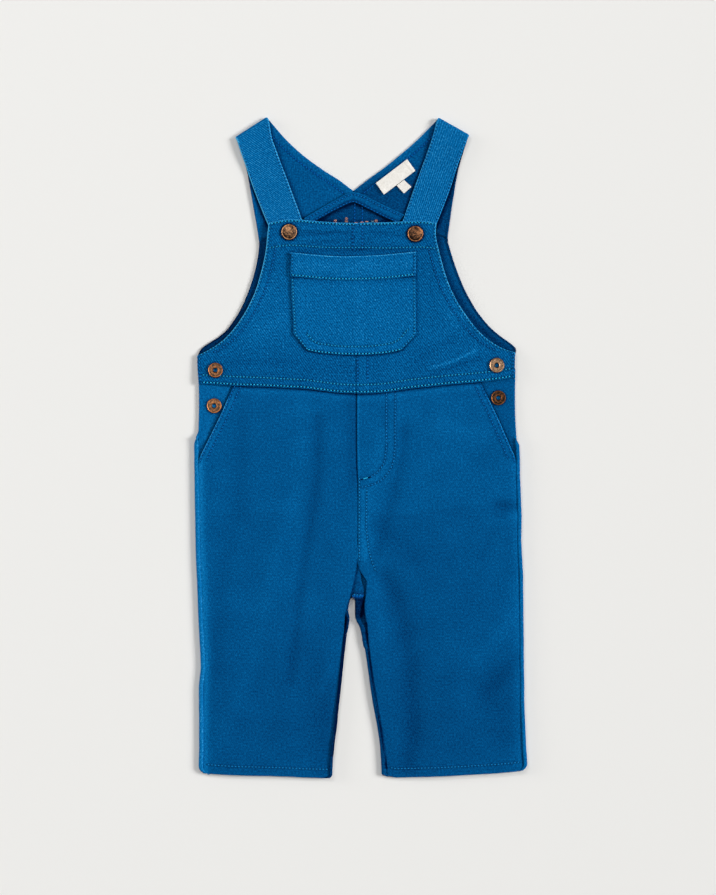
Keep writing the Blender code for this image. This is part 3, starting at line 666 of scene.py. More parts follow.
# Zones of the front painted lighter or darker, broad painted light and shade: their middle, how far they
# reach, how strong
Zone = namedtuple("Zone", "x y wide tall amount")
ZONES = (
    Zone(60, -96, 45, 60, -0.035),
    Zone(60, -215, 80, 50, -0.05),
    Zone(-60, -205, 90, 70, -0.075),
    Zone(-60, -20, 60, 60, -0.03),
    Zone(-66, 102, 22, 30, 0.055),
    Zone(58, 102, 22, 30, 0.02),
    Zone(-50, 61, 60, 9, -0.055),
    Zone(-28, 163, 30, 6, -0.05),
    Zone(30, 163, 20, 6, -0.02),
    Zone(-26, -80, 16, 50, -0.03),
    Zone(12, 155, 22, 9, -0.03),
    Zone(64, 62, 22, 12, -0.025),
    Zone(-80, 62, 26, 12, -0.02),
    Zone(98, -2, 11, 20, -0.04),
    Zone(84, -74, 20, 16, 0.025),
    Zone(80, -152, 24, 14, -0.02),
    Zone(-78, -198, 26, 14, 0.02),
    Zone(-26, -190, 9, 40, -0.03),
)


def zoned(patch):
    """The broad painted light and shade that the zones add to a piece of the front."""
    tone = np.zeros(patch.x.shape)
    for zone in ZONES:
        tone += zone.amount * bell(patch.x, zone.x, zone.wide) * bell(patch.y, zone.y, zone.tall)
    return tone


def crumple(patch):
    """The soft unevenness of cloth that was worn, washed and laid down."""
    broad = ripple(patch.x, patch.y, 34.0, 1.0) * 0.22 + ripple(patch.x, patch.y, 14.0, 2.0) * 0.08
    return broad + 0.025 * ripple(patch.x, patch.y, 5.0, 3.0)


def declare(piece, nodes):
    """Hangs a cloth piece under the root and hides the solids it stands for."""
    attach(piece, "root")
    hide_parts(*nodes)
    return piece


def pitch_of(line, dull):
    """One long stitch where the dullness is below zero, else the usual pitch."""
    return length_of(line) if dull < 0 else STITCH_PITCH


# The foot of each leg, from -X to +X
HEMS = {
    "left": (
        (-126.0, -246.0), (-117.0, -247.0), (-101.8, -248.0), (-86.6, -248.6), (-71.4, -248.8),
        (-56.0, -249.3), (-41.0, -250.1), (-25.8, -250.5), (-20.0, -250.5),
    ),
    "right": (
        (16.0, -248.4), (19.8, -248.6), (27.4, -250.1), (42.6, -249.7), (57.8, -249.3), (73.0, -248.6),
        (88.0, -247.7), (103.0, -246.9), (118.6, -245.5), (127.0, -244.2),
    ),
}


def to_hem(hem, patch, x, y):
    """How far cloth moves up the garment so that its foot meets the hem, fading out above it."""
    foot = patch.edges["bottom"]
    now = np.interp(x, foot[:, 0], foot[:, 1])
    return (np.interp(x, *np.array(hem).T) - 0.1 - now) * (1 - ramp(y - now, 0.0, 40.0))


# How a piece's sides are eased off its solid's edges, as (where, +X, +Y). Where is a place up the garment on
# a left or right side, and a place across it on a top or bottom
SIDE_EASE = {
    "front_leg_left": {
        "left": (
            (-14, 0, 0), (-6, 0.7, -0.2), (3, 1.2, -0.4), (13, 1.3, -0.5), (22, 1.3, -0.5), (32, 0.8, -0.3),
            (41, 0.4, -0.1), (50, 0, 0),
        ),
        "right": (
            (-251, 0.5, 0), (-246, 1.3, 0), (-238, 1.9, 0), (-204, 2.5, 0), (-190, 2.2, 0), (-175, 2.1, 0),
            (-160, 1.9, 0), (-146, 1.2, 0), (-131, 0.4, 0), (-120, 0, 0), (-26, 0, 0), (-10, -0.5, 0),
            (0, -0.8, 0), (60, -0.8, 0),
        ),
    },
    "front_leg_right": {
        "right": (
            (-14, 0, 0), (-6, -0.9, -0.3), (3, -1.5, -0.5), (13, -1.8, -0.7), (23, -1.6, -0.6),
            (32, -1.3, -0.6), (41, -0.6, -0.2), (50, 0, 0),
        ),
        "left": (
            (-246, 0, 0), (-236, -0.6, 0), (-225, -1.1, 0), (-158, -1.1, 0), (-149, -0.8, 0),
            (-143, -0.2, 0), (-137, 0.4, 0), (-131, 0.6, 0), (-127, 1.2, 0), (-118, 1.8, 0), (-113, 1.2, 0),
            (-108, 0.4, 0), (-97, 0.3, 0), (-94, -1.3, 0), (-91.2, -3.4, 0), (-88, -3.6, 0), (-85, -2.2, 0),
            (-80, 0, 0), (-26, 0, 0), (-10, -0.5, 0), (0, -0.8, 0), (60, -0.8, 0),
        ),
    },
    "bib_left": {
        "left": (
            (70, 0, 0), (76, 0.5, -0.9), (82, 1.0, -1.0), (90, 1.0, -1.0), (99, 0.5, -0.4),
            (108, -0.2, 0.1), (117, -0.4, 0.2), (128, -0.4, 0.2), (139, 0, 0), (150, 0, 0), (161, -0.2, 0),
            (170, 0, 0),
        ),
        "bottom": (
            (-113, 0, 0), (-104, 0, -0.8), (-55, 0, -0.8), (-45, 0, -0.4), (-35, 0, -0.5), (-25, 0, -0.8),
            (-8, 0, -0.5), (-3, 0, 0.1),
        ),
        "top": ((-60, 0, -0.1), (-40, 0, 0), (-17, 0, 0), (-6, 0, 0.4), (-2.4, 0, 0.5)),
    },
    "bib_right": {
        "right": (
            (62, 0, 0), (69, 0, 2.6), (71.5, 0, 2.0), (74, -0.5, 0.0), (76, -0.8, -1.1), (82, -1.3, -1.5),
            (89, -1.7, -1.8), (96, -1.5, -1.2), (104, -1.0, -0.8), (113, -0.8, -0.4), (122, -0.4, -0.2),
            (131, 0, 0), (141, 0, 0), (151, -0.8, -0.1), (161, -1.4, -0.1), (166, -0.7, 0), (170, 0, 0),
        ),
        "bottom": (
            (-3, 0, 0.1), (3, 0, 0.1), (8, 0, -0.3), (13, 0, -0.8), (55, 0, -0.9), (65, 0, -0.5),
            (75, 0, -0.6), (96, 0, -1.1), (107, 0, -0.6), (117, 0, 0),
        ),
        "top": (
            (-2.4, 0, 0.5), (5, 0, 0.6), (16, 0, 0.2), (27, 0, 0), (45, 0, 0), (57, 0, -0.1),
        ),
    },
    "chest_pocket": {
        "left": (
            (74, 0, 0), (80, -0.7, -0.3), (88, -0.6, -0.2), (97, -0.3, 0), (117, -0.6, 0), (130, -0.7, 0),
            (142, 0, 0),
        ),
        "right": ((74, 0, 0), (82, -0.4, 0.2), (99, -0.8, 0), (129, -0.7, 0), (142, 0, 0)),
        "top": (
            (-50, 0, 0), (-40, 0, 0.1), (-10, 0, 0.3), (5, 0, 0.5), (25, 0, 0.5), (36, 0, 0.2), (41, 0, 0),
        ),
    },
    "chest_pocket_band": {
        "left": ((130, -0.7, 0), (142, 0, 0)),
        "right": ((130, -0.7, 0), (142, 0, 0)),
        "top": (
            (-50, 0, 0), (-40, 0, 0.1), (-10, 0, 0.3), (5, 0, 0.5), (25, 0, 0.5), (36, 0, 0.2), (41, 0, 0),
        ),
    },
    "back_seam_facing": {
        "bottom": (
            (-38, 0, 0), (-21, 0.1, -0.1), (-12, 0, -0.2), (-5, 0, -0.4), (2, 0, -0.6), (11, 0, -0.7),
            (20, 0, -0.6), (28, 0, 0),
        ),
    },
    "strap_left": {
        "left": (
            (160, -0.2, 0), (175, -0.8, -0.2), (190, -0.6, -0.2), (205, -0.5, -0.1), (215, -0.3, 0),
            (225, -0.4, 0), (235, 0, 0),
        ),
        "right": (
            (158, -0.8, -0.1), (172, -0.4, 0), (185, -0.1, 0), (195, 0.2, 0.1), (206, 0.5, 0.2),
            (226, 0.3, 0.1), (236, -0.6, 0), (246, -0.2, 0),
        ),
    },
    "strap_right": {
        "left": (
            (158, 0, 0), (168, -0.3, 0.1), (186, -0.7, 0.3), (196, -1.1, 0.4), (206, -1.2, 0.5),
            (216, -1.1, 0.4), (227, -0.9, 0.4), (237, -0.5, 0.2), (246, 0, 0),
        ),
        "right": (
            (160, -0.2, 0), (175, 0.4, -0.2), (195, 0.8, -0.3), (205, 0.5, -0.2), (214, 0, 0),
        ),
    },
}
# The ends of two sides that meet at each corner: 0 is a side's first place, and -1 its last
CORNERS = (
    ("bottom", 0, "left", 0), ("bottom", -1, "right", 0), ("top", 0, "left", -1), ("top", -1, "right", -1),
)


def ease_sides(name, sides):
    """Moves a piece's sides by its table of ease and keeps their ends together."""
    eased = {side: np.array(line, float) for side, line in sides.items()}
    for side, table in SIDE_EASE.get(name, {}).items():
        where, right, up = np.array(table, float).T
        at = eased[side][:, 1 if side in ("left", "right") else 0].copy()
        eased[side] += np.column_stack([np.interp(at, where, right), np.interp(at, where, up)])
    for side, end, other, other_end in CORNERS:
        meet = eased[side][end] + eased[other][other_end] - sides[side][end]
        eased[side][end] = eased[other][other_end] = meet
    return eased


def dress(name, corners, relief, rows, material=FRONT_TWILL, wall=WALL, moved=None, hem=None):
    """One flat-lying cloth piece on its solid: rows of sewing, edges and folds, then its stitches.

    A side that is moved is given as its own line, not the solid's edge. With a hem the foot is drawn to it.
    """
    solid = Solid(name)
    sides = dict(zip(SIDES, solid.sides(corners)))
    sides.update({side: np.array(line, float) for side, line in (moved or {}).items()})
    for side, end, other, other_end in CORNERS:
        if other in (moved or {}):
            sides[side][end] = sides[other][other_end]
        elif side in (moved or {}):
            sides[other][other_end] = sides[side][end]
    patch = Patch(ease_sides(name, sides).values())
    height = patch.heights(solid)
    lines = rows(patch)
    if hem:
        for line, _ in lines:
            line[:, 1] += to_hem(hem, patch, *line.T)
        patch.y = patch.y + to_hem(hem, patch, patch.x, patch.y)
    lift, tone = relief(patch)
    groove, shade = bed_of_rows(patch, [line for line, _ in lines])
    grid = np.stack([patch.x, patch.y, height + lift + groove], axis=-1)
    chart = np.stack([patch.x, patch.y], axis=-1)
    piece = sheet_object(name + "_cloth", grid, chart, tone + shade, material, wall)
    if lines:
        ground = ground_of(grid)
        runs = [(line, ground, pitch_of(line, dull), dull) for line, dull in lines]
        sew(name + "_stitches", runs)
    size = (np.ptp(patch.x) * MM, np.ptp(patch.y) * MM)
    declare(piece, [name])


def pocket_bag(side, p):
    """The lift of the pocket bag that shows through a leg, with painted shade below its foot."""
    if side == "left":
        foot, dark = -50.0, 0.02
        within = ramp(p.x, -116.0, 6.0) * (1 - ramp(p.x, -58.0, 10.0))
    else:
        foot, dark = -52.0 + 0.12 * np.maximum(p.x - 19.0, 0.0), 0.035
        within = ramp(p.x, 15.0, 10.0) * (1 - ramp(p.x, 112.0, 8.0))
    above = ramp(p.y, foot - 1.0, 2.4)
    return 0.22 * within * above * (1 - ramp(p.y, foot + 20.0, 40.0)), -dark * (1 - above) * within


def leg_relief(side):
    """A leg: the band of its pocket mouth, its hem, its inner edge, and on the right one the mock fly."""

    def relief(p):
        outer, inner = (p.left, p.right) if side == "left" else (p.right, p.left)
        on_mouth = ramp(p.y, MOUTH_FOOT_UP, 5.0)
        on_side = 1 - on_mouth
        on_front = ramp(p.y, CROTCH_UP, 6.0)
        inside_leg = 1 - on_front
        shut = on_front * (1 - ramp(p.y, -42.0, 14.0))
        below_bib = 1 - ramp(p.y, 36.0, 6.0)
        mouth_band = (1 - ramp(outer, 6.0, 1.6)) * on_mouth * below_bib
        bag_lift, bag_tone = pocket_bag(side, p)
        creases = creased(p, LEG_CREASES)

        lift = (creases + crumple(p)) * below_bib + bag_lift + 0.3 * mouth_band
        lift += rounded(outer) + rounded(inner, 0.8) * (1 - 0.85 * shut) + rounded(p.bottom, 0.6)
        lift -= 0.45 * bell(outer, 0.0, 1.2) * on_side + 0.1 * bell(inner, 0.0, 1.4) * inside_leg
        lift += 0.28 * (1 - ramp(p.bottom, 6.8, 1.5)) - 0.8 * (1 - ramp(p.bottom, 0.0, 90.0))
        lift -= 0.2 * bell(outer, 0.0, 6.0) * on_side

        # Painted light: a highlight on the mouth's edge, a lighter mouth band and a lighter outer strip,
        # stronger on the left, with painted shade at the outer edge's very rim
        painted_band_light, painted_side_light = (0.08, 0.24) if side == "left" else (0.03, 0.06)
        tone = 0.34 * bell(outer, 0.35, 0.5) * on_mouth * below_bib + painted_band_light * mouth_band + bag_tone
        tone += (painted_side_light * bell(outer, 0.0, 4.2) - 0.1 * bell(outer, 0.0, 0.6)) * on_side
        # A painted highlight on the hem's edge, painted shade at the inner edge inside the leg, a painted
        # shadow below the bib's foot
        tone += 0.05 * bell(p.bottom, 0.3, 0.6) - 0.2 * bell(inner, 0.0, 0.7) * inside_leg
        below_waist = distance_to(WAIST, p.x, p.y)
        tone += 0.06 * bell(below_waist, 3.4, 2.2) - 0.45 * bell(below_waist, 0.0, 1.1)
        # Painted shadow in the ditch of the inner seam
        tone -= 0.6 * bell(distance_to(INNER_SEAM[side], p.x, p.y), 0.0, 0.65)
        # Painted light on the creases' ridges and painted shade in their troughs, with the zones' painted
        # light and shade
        tone += zoned(p) + 0.16 * creases
        if side == "right":
            fly = bell(distance_to(FLY_OUTER, p.x, p.y), 0.0, 5.0)
            fell = (1 - ramp(p.x, 5.4, 1.4)) * (1 - ramp(p.y, -34.0, 6.0)) * on_front
            lift += 0.35 * (fly * below_bib + fell)
            # Painted highlights on the raised fly and fell, and beside the inner edge
            tone += 0.03 * fly + 0.06 * fell + 0.12 * bell(inner, 1.3, 0.8) * on_front * (1 - shut)
        else:
            open_edge = on_front * ramp(p.y, -30.0, 10.0)
            lift -= 0.6 * bell(inner, 0.0, 1.6) * open_edge
            # Painted shade along the left leg's inner edge, beside the right leg's fell
            tone -= (0.07 * bell(inner, 0.0, 5.0) + 0.35 * bell(inner, 0.0, 0.7)) * open_edge
        return lift, tone

    return relief


# The painted shadow line where each leg's front meets the back's rolled edge on the inside
INNER_SEAM = {
    "left": (
        (-10.6, -127.7), (-12.2, -146), (-13.3, -161), (-15.2, -175), (-17.5, -204), (-20.3, -233),
    ),
    "right": ((4.6, -133), (5.2, -146), (8.4, -170), (12.5, -195), (16.5, -219), (20.0, -243)),
}
WAIST = (
    (-122.8, 48.6), (-113.0, 48.4), (-95.0, 47.1), (-67.0, 46.1), (-40.8, 44.7), (-14.7, 41.6),
    (-0.8, 41.1), (15.0, 41.7), (37.7, 44.8), (63.8, 47.7), (90.1, 50.0), (117.4, 54.0),
)
FLY_INNER = ((19.8, 42.0), (19.6, 15.0), (19.3, -3.0), (17.6, -11.5), (13.2, -18.0), (7.6, -22.0))
FLY_OUTER = (
    (26.4, 42.0), (26.2, 15.0), (26.0, -3.0), (24.6, -11.5), (20.6, -19.4), (14.0, -25.6), (6.2, -28.6),
    (0.3, -29.8),
)
FLY_TACK = ((0.4, -23.8), (7.6, -22.0))


def leg_rows(side):
    def rows(p):
        outer = "left" if side == "left" else "right"
        mouth = length_of(p.edges[outer]) - 73.0
        lines = [
            (p.row("bottom", 6.7, 3.0, 2.5), 0.75),
            (p.row(outer, EDGE_ROW, mouth, 9.0), 0.9),
            (p.row(outer, 5.7, mouth + 3.0, 9.0), 0.9),
        ]
        if side == "right":
            lines += [(spline(line), 0.8) for line in (FLY_INNER, FLY_OUTER)]
            lines.append((spline(FLY_TACK, 0.5), -1.0))
            lines += [
                (spline(((-0.7, -22.0), (-0.9, -60.0), (-0.9, -86.0))), 0.7),
                (spline(((4.8, -31.0), (5.0, -66.0), (7.0, -80.0), (11.4, -93.0))), 0.75),
            ]
        return lines

    return rows


def bib_relief(side):
    """A bib half: its turned edges, its felled middle, painted highlights on its edges and fells, and painted
    shade round the pocket and the studs, above the pocket and in the middle seam.
    """
    pocket = Solid("chest_pocket").outline()
    pocket = np.concatenate([pocket, pocket[:1]])

    def relief(p):
        armhole, middle = (p.left, p.right) if side == "left" else (p.right, p.left)
        on_armhole = ramp(p.y, 68.0, 5.0)
        free = ramp(p.y, POCKET_TOP_UP + 1.0, 3.0)
        low = 1 - ramp(p.y, POCKET_FOOT_UP - 2.0, 3.0)
        lift = creased(p, BIB_CREASES) + 0.45 * crumple(p)
        under_pocket = (1 - free) * (1 - low) * ramp(p.x, -58.0, 6.0) * (1 - ramp(p.x, 44.0, 6.0))
        lift *= 1 - under_pocket
        lift += rounded(armhole) + rounded(p.bottom, 0.65) + rounded(p.top, 0.6)
        lift += 0.32 * (1 - ramp(armhole, 7.6, 1.6)) * on_armhole
        lift += 0.3 * (1 - ramp(p.top, 18.4, 1.6))
        lift += 0.34 * (1 - ramp(p.bottom, 6.8, 1.6))
        upper_fell = ramp(p.x, UPPER_FELL[0] - 1.2, 1.0) * (1 - ramp(p.x, UPPER_FELL[1] + 0.4, 1.0))
        lower_fell = ramp(p.x, LOWER_FELL[0] - 1.4, 0.8) * (1 - ramp(p.x, LOWER_FELL[1] + 0.6, 1.2))
        lift += 0.32 * upper_fell * free + 0.36 * lower_fell * low
        # Painted highlights along the armhole, top and foot edges and on the fells
        armhole_highlight = 0.8 if side == "left" else 0.5
        tone = armhole_highlight * bell(armhole, 0.3, 0.45) * on_armhole + 0.42 * bell(p.top, 0.3, 0.5)
        tone += 0.05 * bell(p.bottom, 0.3, 0.6) + 0.03 * (upper_fell * free + lower_fell * low)
        if side == "left":
            lift -= 0.4 * bell(middle, 0.0, 1.2) * low
            # Painted shade in the middle seam
            tone -= 0.10 * bell(middle, 0.0, 0.6) * low
        # Painted light on the creases' ridges and painted shade in their troughs, with the zones' painted
        # light and shade
        tone += zoned(p) + 0.16 * creased(p, BIB_CREASES)
        # Painted shadow round the pocket and across the bib just above it
        beside = np.where(np.abs(p.x + 5.0) > 41.0, 0.15, 0.32)
        tone -= beside * bell(distance_to(pocket, p.x, p.y), 0.0, 1.2)
        tone -= 0.16 * bell(p.y, 150.0, 1.3) * bell(p.x, -5.0, 46.0)
        tone += stud_tone(p, ("bib_snap_" + side, "side_snap_" + side + "_upper"))
        return lift, tone

    return relief


def bib_rows(side):
    def rows(p):
        armhole = "left" if side == "left" else "right"
        foot_ends, top_ends = ((3.0, 0.0), (2.0, 0.0)) if side == "left" else ((0.0, 3.0), (0.0, 2.0))
        lines = [
            (p.row(armhole, EDGE_ROW, 22.5, 2.5), 0.6),
            (p.row(armhole, 7.6, 27.0, 20.0), 0.88),
            (p.row("bottom", 1.35, *foot_ends), 0.0),
            (p.row("bottom", 6.6, *foot_ends), 0.35),
            (p.row("top", EDGE_ROW, 1.5, 1.5), 0.2),
            (p.row("top", 18.6, *top_ends), 0.45),
            (p.row(armhole, 1.6, 2.0, length_of(p.edges[armhole]) - 20.5), 0.85),
        ]
        for x in UPPER_FELL:
            if (x < BIB_MIDDLE) == (side == "left"):
                lines.append((spline(((x, 150.5), (x, 169.2))), 0.9))
        for x in LOWER_FELL:
            if side == "right":
                lines.append((spline(((x, 69.0), (x, 50.5))), 0.9))
        return lines

    return rows


# The side seam that a facing runs to, and the pocket mouth that lies over it
LEFT_SEAM = (
    (-119.5, -52.0), (-122.6, -14.0), (-123.2, 0.0), (-123.0, 12.0), (-122.6, 30.0), (-122.8, 54.5),
)
RIGHT_SEAM = (
    (117.0, -52.0), (119.0, -10.0), (118.6, 6.0), (117.8, 20.0), (117.4, 40.0), (117.8, 60.0),
)
MOUTHS = {
    "left": ((-92.3, 56.0), (-96.4, 46.9), (-104.9, 27.6), (-113.3, 10.5), (-122.2, -8.1)),
    "right": ((87.5, 56.0), (92.3, 46.9), (102.0, 27.4), (109.8, 10.3), (117.8, -8.1)),
}


def stud_tone(patch, names):
    """The painted shadow round each stud, and the lighter cloth in an open stud's hole."""
    tone = np.zeros(patch.x.shape)
    for name in names:
        low, high = (np.array(corner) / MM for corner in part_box(name))
        radius = (high[0] - low[0]) / 2
        away = np.hypot(patch.x - (low[0] + high[0]) / 2, patch.y - (low[1] + high[1]) / 2)
        tone -= (0.5 if name.startswith("bib") else 0.25) * bell(away, radius + 0.1, 0.7)
        if not name.startswith("bib"):
            tone += 0.3 * bell(away, 0.0, 1.2)
    return tone


def facing_relief(side):
    """A hip facing: flat, with painted shadow where the pocket mouth lies over it and a painted highlight on
    its outer edge; the left one is lighter and the right one darker.
    """

    def relief(p):
        away = distance_to(MOUTHS[side], p.x, p.y)
        lift = 0.2 * crumple(p) - 0.5 * bell(away, 0.0, 1.3)
        outer = p.left if side == "left" else p.right
        lift += rounded(outer) - 0.9 * (1 - ramp(p.y, -2.0, 10.0)) * (1 - ramp(outer, 2.0, 4.0))
        # Painted highlight on the outer edge and painted shadow along the pocket mouth
        tone = (0.06 if side == "left" else -0.04) + 0.08 * bell(outer, 0.3, 0.6) - 0.5 * bell(away, 0.0, 0.8)
        return lift, tone + stud_tone(p, ("side_snap_" + side + "_lower",))

    return relief


def plain_edges(*sides, edge_highlight=0.10, swell=0.15):
    """Relief of a small piece with folded edges on the named sides, each with a painted highlight."""

    def relief(p):
        lift = 0.3 * crumple(p)
        tone = np.zeros(p.x.shape)
        for side in sides:
            away = getattr(p, side)
            lift += rounded(away) + swell * bell(away, 0.9, 0.9)
            # Painted highlight along the folded edge
            tone += edge_highlight * bell(away, 0.3, 0.55)
        return lift, tone

    return relief


# The corners of each piece's solid, from its bottom left round to its top left
FRONT_CORNERS = {
    "front_leg_left": ((-123.0, -247.0), (-22.4, -250.6), (-2.2, 48.0), (-92.5, 56.0)),
    "front_leg_right": ((19.8, -249.8), (123.8, -245.5), (87.7, 56.0), (-1.9, 48.0)),
    "bib_left": ((-122.8, 48.6), (-2.55, 41.2), (-2.55, 170.3), (-69.6, 170.4)),
    "bib_right": ((-2.25, 41.2), (117.4, 55.0), (57.6, 170.4), (-2.25, 170.3)),
    "hip_facing_left": ((-119.0, -52.0), (-54.0, -52.0), (-54.0, 52.5), (-122.5, 54.5)),
    "hip_facing_right": ((18.0, -52.0), (116.0, -52.0), (117.8, 60.0), (18.0, 49.0)),
    "chest_pocket": ((-40.4, 74.0), (31.0, 74.2), (42.2, 149.0), (-52.7, 148.4)),
    "chest_pocket_band": ((-52.7, 130.2), (42.2, 130.8), (42.2, 149.0), (-52.7, 148.4)),
    "back_seam_facing": ((-38.6, 169.6), (28.0, 170.6), (33.2, 177.2), (-42.8, 174.6)),
}
BIB_SEAM = ((BIB_MIDDLE - 0.7, 41.2), (BIB_MIDDLE - 0.7, 66.0), (BIB_MIDDLE, 105.0), (BIB_MIDDLE, 170.3))
BIB_RIGHT_FOOT = (
    (BIB_MIDDLE - 0.7, 41.2), (15.0, 42.6), (37.7, 45.7), (63.8, 48.2), (90.1, 50.9), (104.5, 52.2),
    (117.4, 53.6),
)


def unsewn(p):
    """No rows of sewing of its own."""
    return []


def make_fronts():
    moved_edges = {
        "bib_left": {"right": BIB_SEAM},
        "bib_right": {"left": BIB_SEAM, "bottom": BIB_RIGHT_FOOT},
        "hip_facing_left": {"left": LEFT_SEAM},
        "hip_facing_right": {"right": RIGHT_SEAM},
    }
    for side in ("left", "right"):
        leg, back = "front_leg_" + side, "back_" + side
        dress(leg, FRONT_CORNERS[leg], leg_relief(side), leg_rows(side), hem=HEMS[side])
    for side in ("left", "right"):
        bib = "bib_" + side
        dress(bib, FRONT_CORNERS[bib], bib_relief(side), bib_rows(side), BIB_TWILL,
              moved=moved_edges[bib])
    for side in ("left", "right"):
        facing = "hip_facing_" + side
        dress(facing, FRONT_CORNERS[facing], facing_relief(side), unsewn,
              wall=0.8, moved=moved_edges[facing])


def pocket_relief(p):
    lift, tone = plain_edges("left", "right", "bottom", edge_highlight=0.12, swell=0.2)(p)
    lift += rounded(p.top) + 0.25 * (1 - ramp(np.minimum(np.minimum(p.left, p.right), p.bottom), 6.8, 1.6))
    fell = ramp(p.x, -6.2, 2.5) * (1 - ramp(p.x, 0.6, 2.5))
    lift += 0.2 * fell + 0.35 * bell(np.hypot(p.x + 4.0, (p.y - 106.0) * 0.8), 0.0, 26.0)
    lift -= 0.15 * bell(p.x, -24.0, 9.0)
    band_foot = 130.2 + 0.6 * (p.x + 52.7) / 94.9
    # Painted shadow at the band's foot, and the pocket's upper part painted darker under the band
    tone -= 0.45 * bell(band_foot - p.y, 0.4, 1.2)
    tone -= 0.05 * ramp(p.y, 122.0, 5.0)
    # A painted highlight on the raised fell
    return lift, tone + 0.02 * fell


def pocket_rows(p):
    inner = (
        (-40.6, 86.6), (-34.4, 80.4), (-26.0, 78.6), (-2.3, 76.9), (18.0, 78.6), (26.6, 80.6), (36.6, 90.6),
    )
    return [
        (p.row("bottom", EDGE_ROW, 1.0, 1.0), 0.0),
        (p.row("left", EDGE_ROW, 1.0, 19.5), 0.5),
        (p.row("right", EDGE_ROW, 1.0, 19.5), 0.6),
        (spline(inner, corner=60.0), 0.45),
    ]


def band_relief(p):
    lift, tone = plain_edges("left", "right", "bottom", "top", edge_highlight=0.12, swell=0.25)(p)
    middle = bell(p.top, 9.0, 5.0)
    # Painted light on the band's rounded middle and a painted highlight on its top edge
    return lift + 0.25 * middle, tone + 0.05 * middle + 0.16 * bell(p.top, 0.3, 0.6)


def band_rows(p):
    return [
        (p.row("bottom", EDGE_ROW, 1.0, 1.0), 0.1),
        (p.row("left", EDGE_ROW, 1.5, 1.0), 0.75),
        (p.row("right", EDGE_ROW, 1.5, 1.0), 0.75),
    ]


def make_pocket():
    dress("chest_pocket", FRONT_CORNERS["chest_pocket"], pocket_relief, pocket_rows, POCKET_TWILL)
    dress("chest_pocket_band", FRONT_CORNERS["chest_pocket_band"], band_relief, band_rows, POCKET_TWILL,
          wall=0.7)


def tape_relief(p):
    lift, tone = plain_edges("top", "bottom", edge_highlight=0.1, swell=0.45)(p)
    # Painted highlight along the tape's upper part and painted shade towards its foot
    return lift, tone + 0.13 * bell(p.top, 2.6, 2.2) - 0.24 * (1 - ramp(p.bottom, 0.0, 3.2))


def tape_rows(p):
    return [(p.row("top", 1.9, 1.0, 1.0), 0.9), (p.row("bottom", 1.0, 1.0, 1.0), 0.95)]


def make_tape():
    dress("back_seam_facing", FRONT_CORNERS["back_seam_facing"], tape_relief, tape_rows, INSIDE_TWILL)


# ---------------------------------------- backs, with their edges rolled to the front

# How a back's outer and inner edges turn up over the sides: the whole turn in degrees, where up the garment
# it starts to open out, where it is flat, and how wide the strip past the turn is
Roll = namedtuple("Roll", "turn open_from open_to strip")
BACK_ROLLS = {
    "left": (Roll(178, 3, 12, 1.3), Roll(150, -97, -78, 1.0)),
    "right": (Roll(165, 3, 12, 1.1), Roll(180, -90, -77, 1.7)),
}
ROLL_RADIUS = 2.2
BACK_WALL = 1.0
# Cloth of a back that lies higher than this is on a rolled edge
ROLLED_UP = 1.4
HEM_CORNER = {"left": (5.0, 3.0), "right": (5.0, 1.5)}
SHOULDER_SEAM_UP = {"left": 159.4, "right": 162.0}
ARMHOLES = {
    "left": (
        (-69.6, 170.4), (-71.4, 153), (-74.9, 135), (-79, 120), (-85.9, 106), (-96.5, 92), (-108.6, 80),
        (-123.9, 70),
    ),
    "right": (
        (57.6, 170.4), (59.8, 153), (63.5, 135), (69.7, 120), (78.2, 106), (89.9, 92), (103.4, 80),
        (117.7, 70),
    ),
}
BIB_TOP = (
    (-69.6, 170.4), (-54.7, 173.7), (-28.1, 171.8), (-2.4, 170.3), (16, 171), (45.6, 172.5), (57.6, 170.4),
)
# How far the backs' outer edges are let out (+X) beyond the solids, by how far up
EASE = {
    "left": (
        (-250, -0.7), (-228, 0.2), (-204, 0.1), (-191, -0.3), (-180, -0.6), (-167, 0.4), (-150, 0.0),
        (-110, -0.2), (-20, 0.2), (-6, 0.0), (3, -1.3), (11, -1.0), (16, -0.5), (30, -0.1), (64, -1.4),
        (76, -2.0), (84, 0.3), (90, 0.5), (96, 0.2), (112, 0.3), (124, 0.0), (137, 0.4), (150, 0.4),
        (160, 0.0),
    ),
    "right": (
        (-250, 1.2), (-228, 0.4), (-191, 0.1), (-180, 0.4), (-130, 0.1), (-96, 0.6), (-70, -0.3),
        (-52, 0.4), (-20, 0.1), (-6, 0.4), (3, 1.5), (11, -0.6), (16, -0.1), (40, 0.1), (64, -1.9),
        (76, 3.4), (84, 0.2), (92, 0.1), (100, 0.4), (112, 0.9), (124, 0.5), (150, 0.2), (160, 0.0),
    ),
}
# Lower edge of the tape over the neck seam
TAPE_FOOT = ((-38.6, 169.2), (-20.0, 180.1), (-5.2, 186.8), (10.0, 179.9), (28.0, 169.8))
# The backs' inner edges under the crotch, where the seam hangs open, as (up the garment, across)
CROTCH_EDGES = {
    "left": (
        (-156.0, -12.5), (-149.0, -11.5), (-142.9, -10.6), (-139.8, -10.0), (-136.8, -9.1), (-130.7, -8.2),
        (-127.7, -8.3), (-124.6, -9.2), (-121.6, -9.1), (-118.6, -8.6), (-115.5, -7.9), (-113.5, -7.4),
    ),
    "right": (
        (-152.0, 2.6), (-149.0, 2.1), (-145.9, 1.4), (-142.9, 1.2), (-139.8, 0.5), (-136.8, -0.3),
        (-133.8, -1.4), (-132.2, -2.5), (-130.7, -3.4), (-127.7, -4.1), (-115.5, -4.1), (-112.0, -5.6),
    ),
}
CROTCH_HOLLOW = ((1.6, -114.5), (2.4, -119.0), (2.2, -124.0), (0.4, -128.0), (-1.6, -131.0))


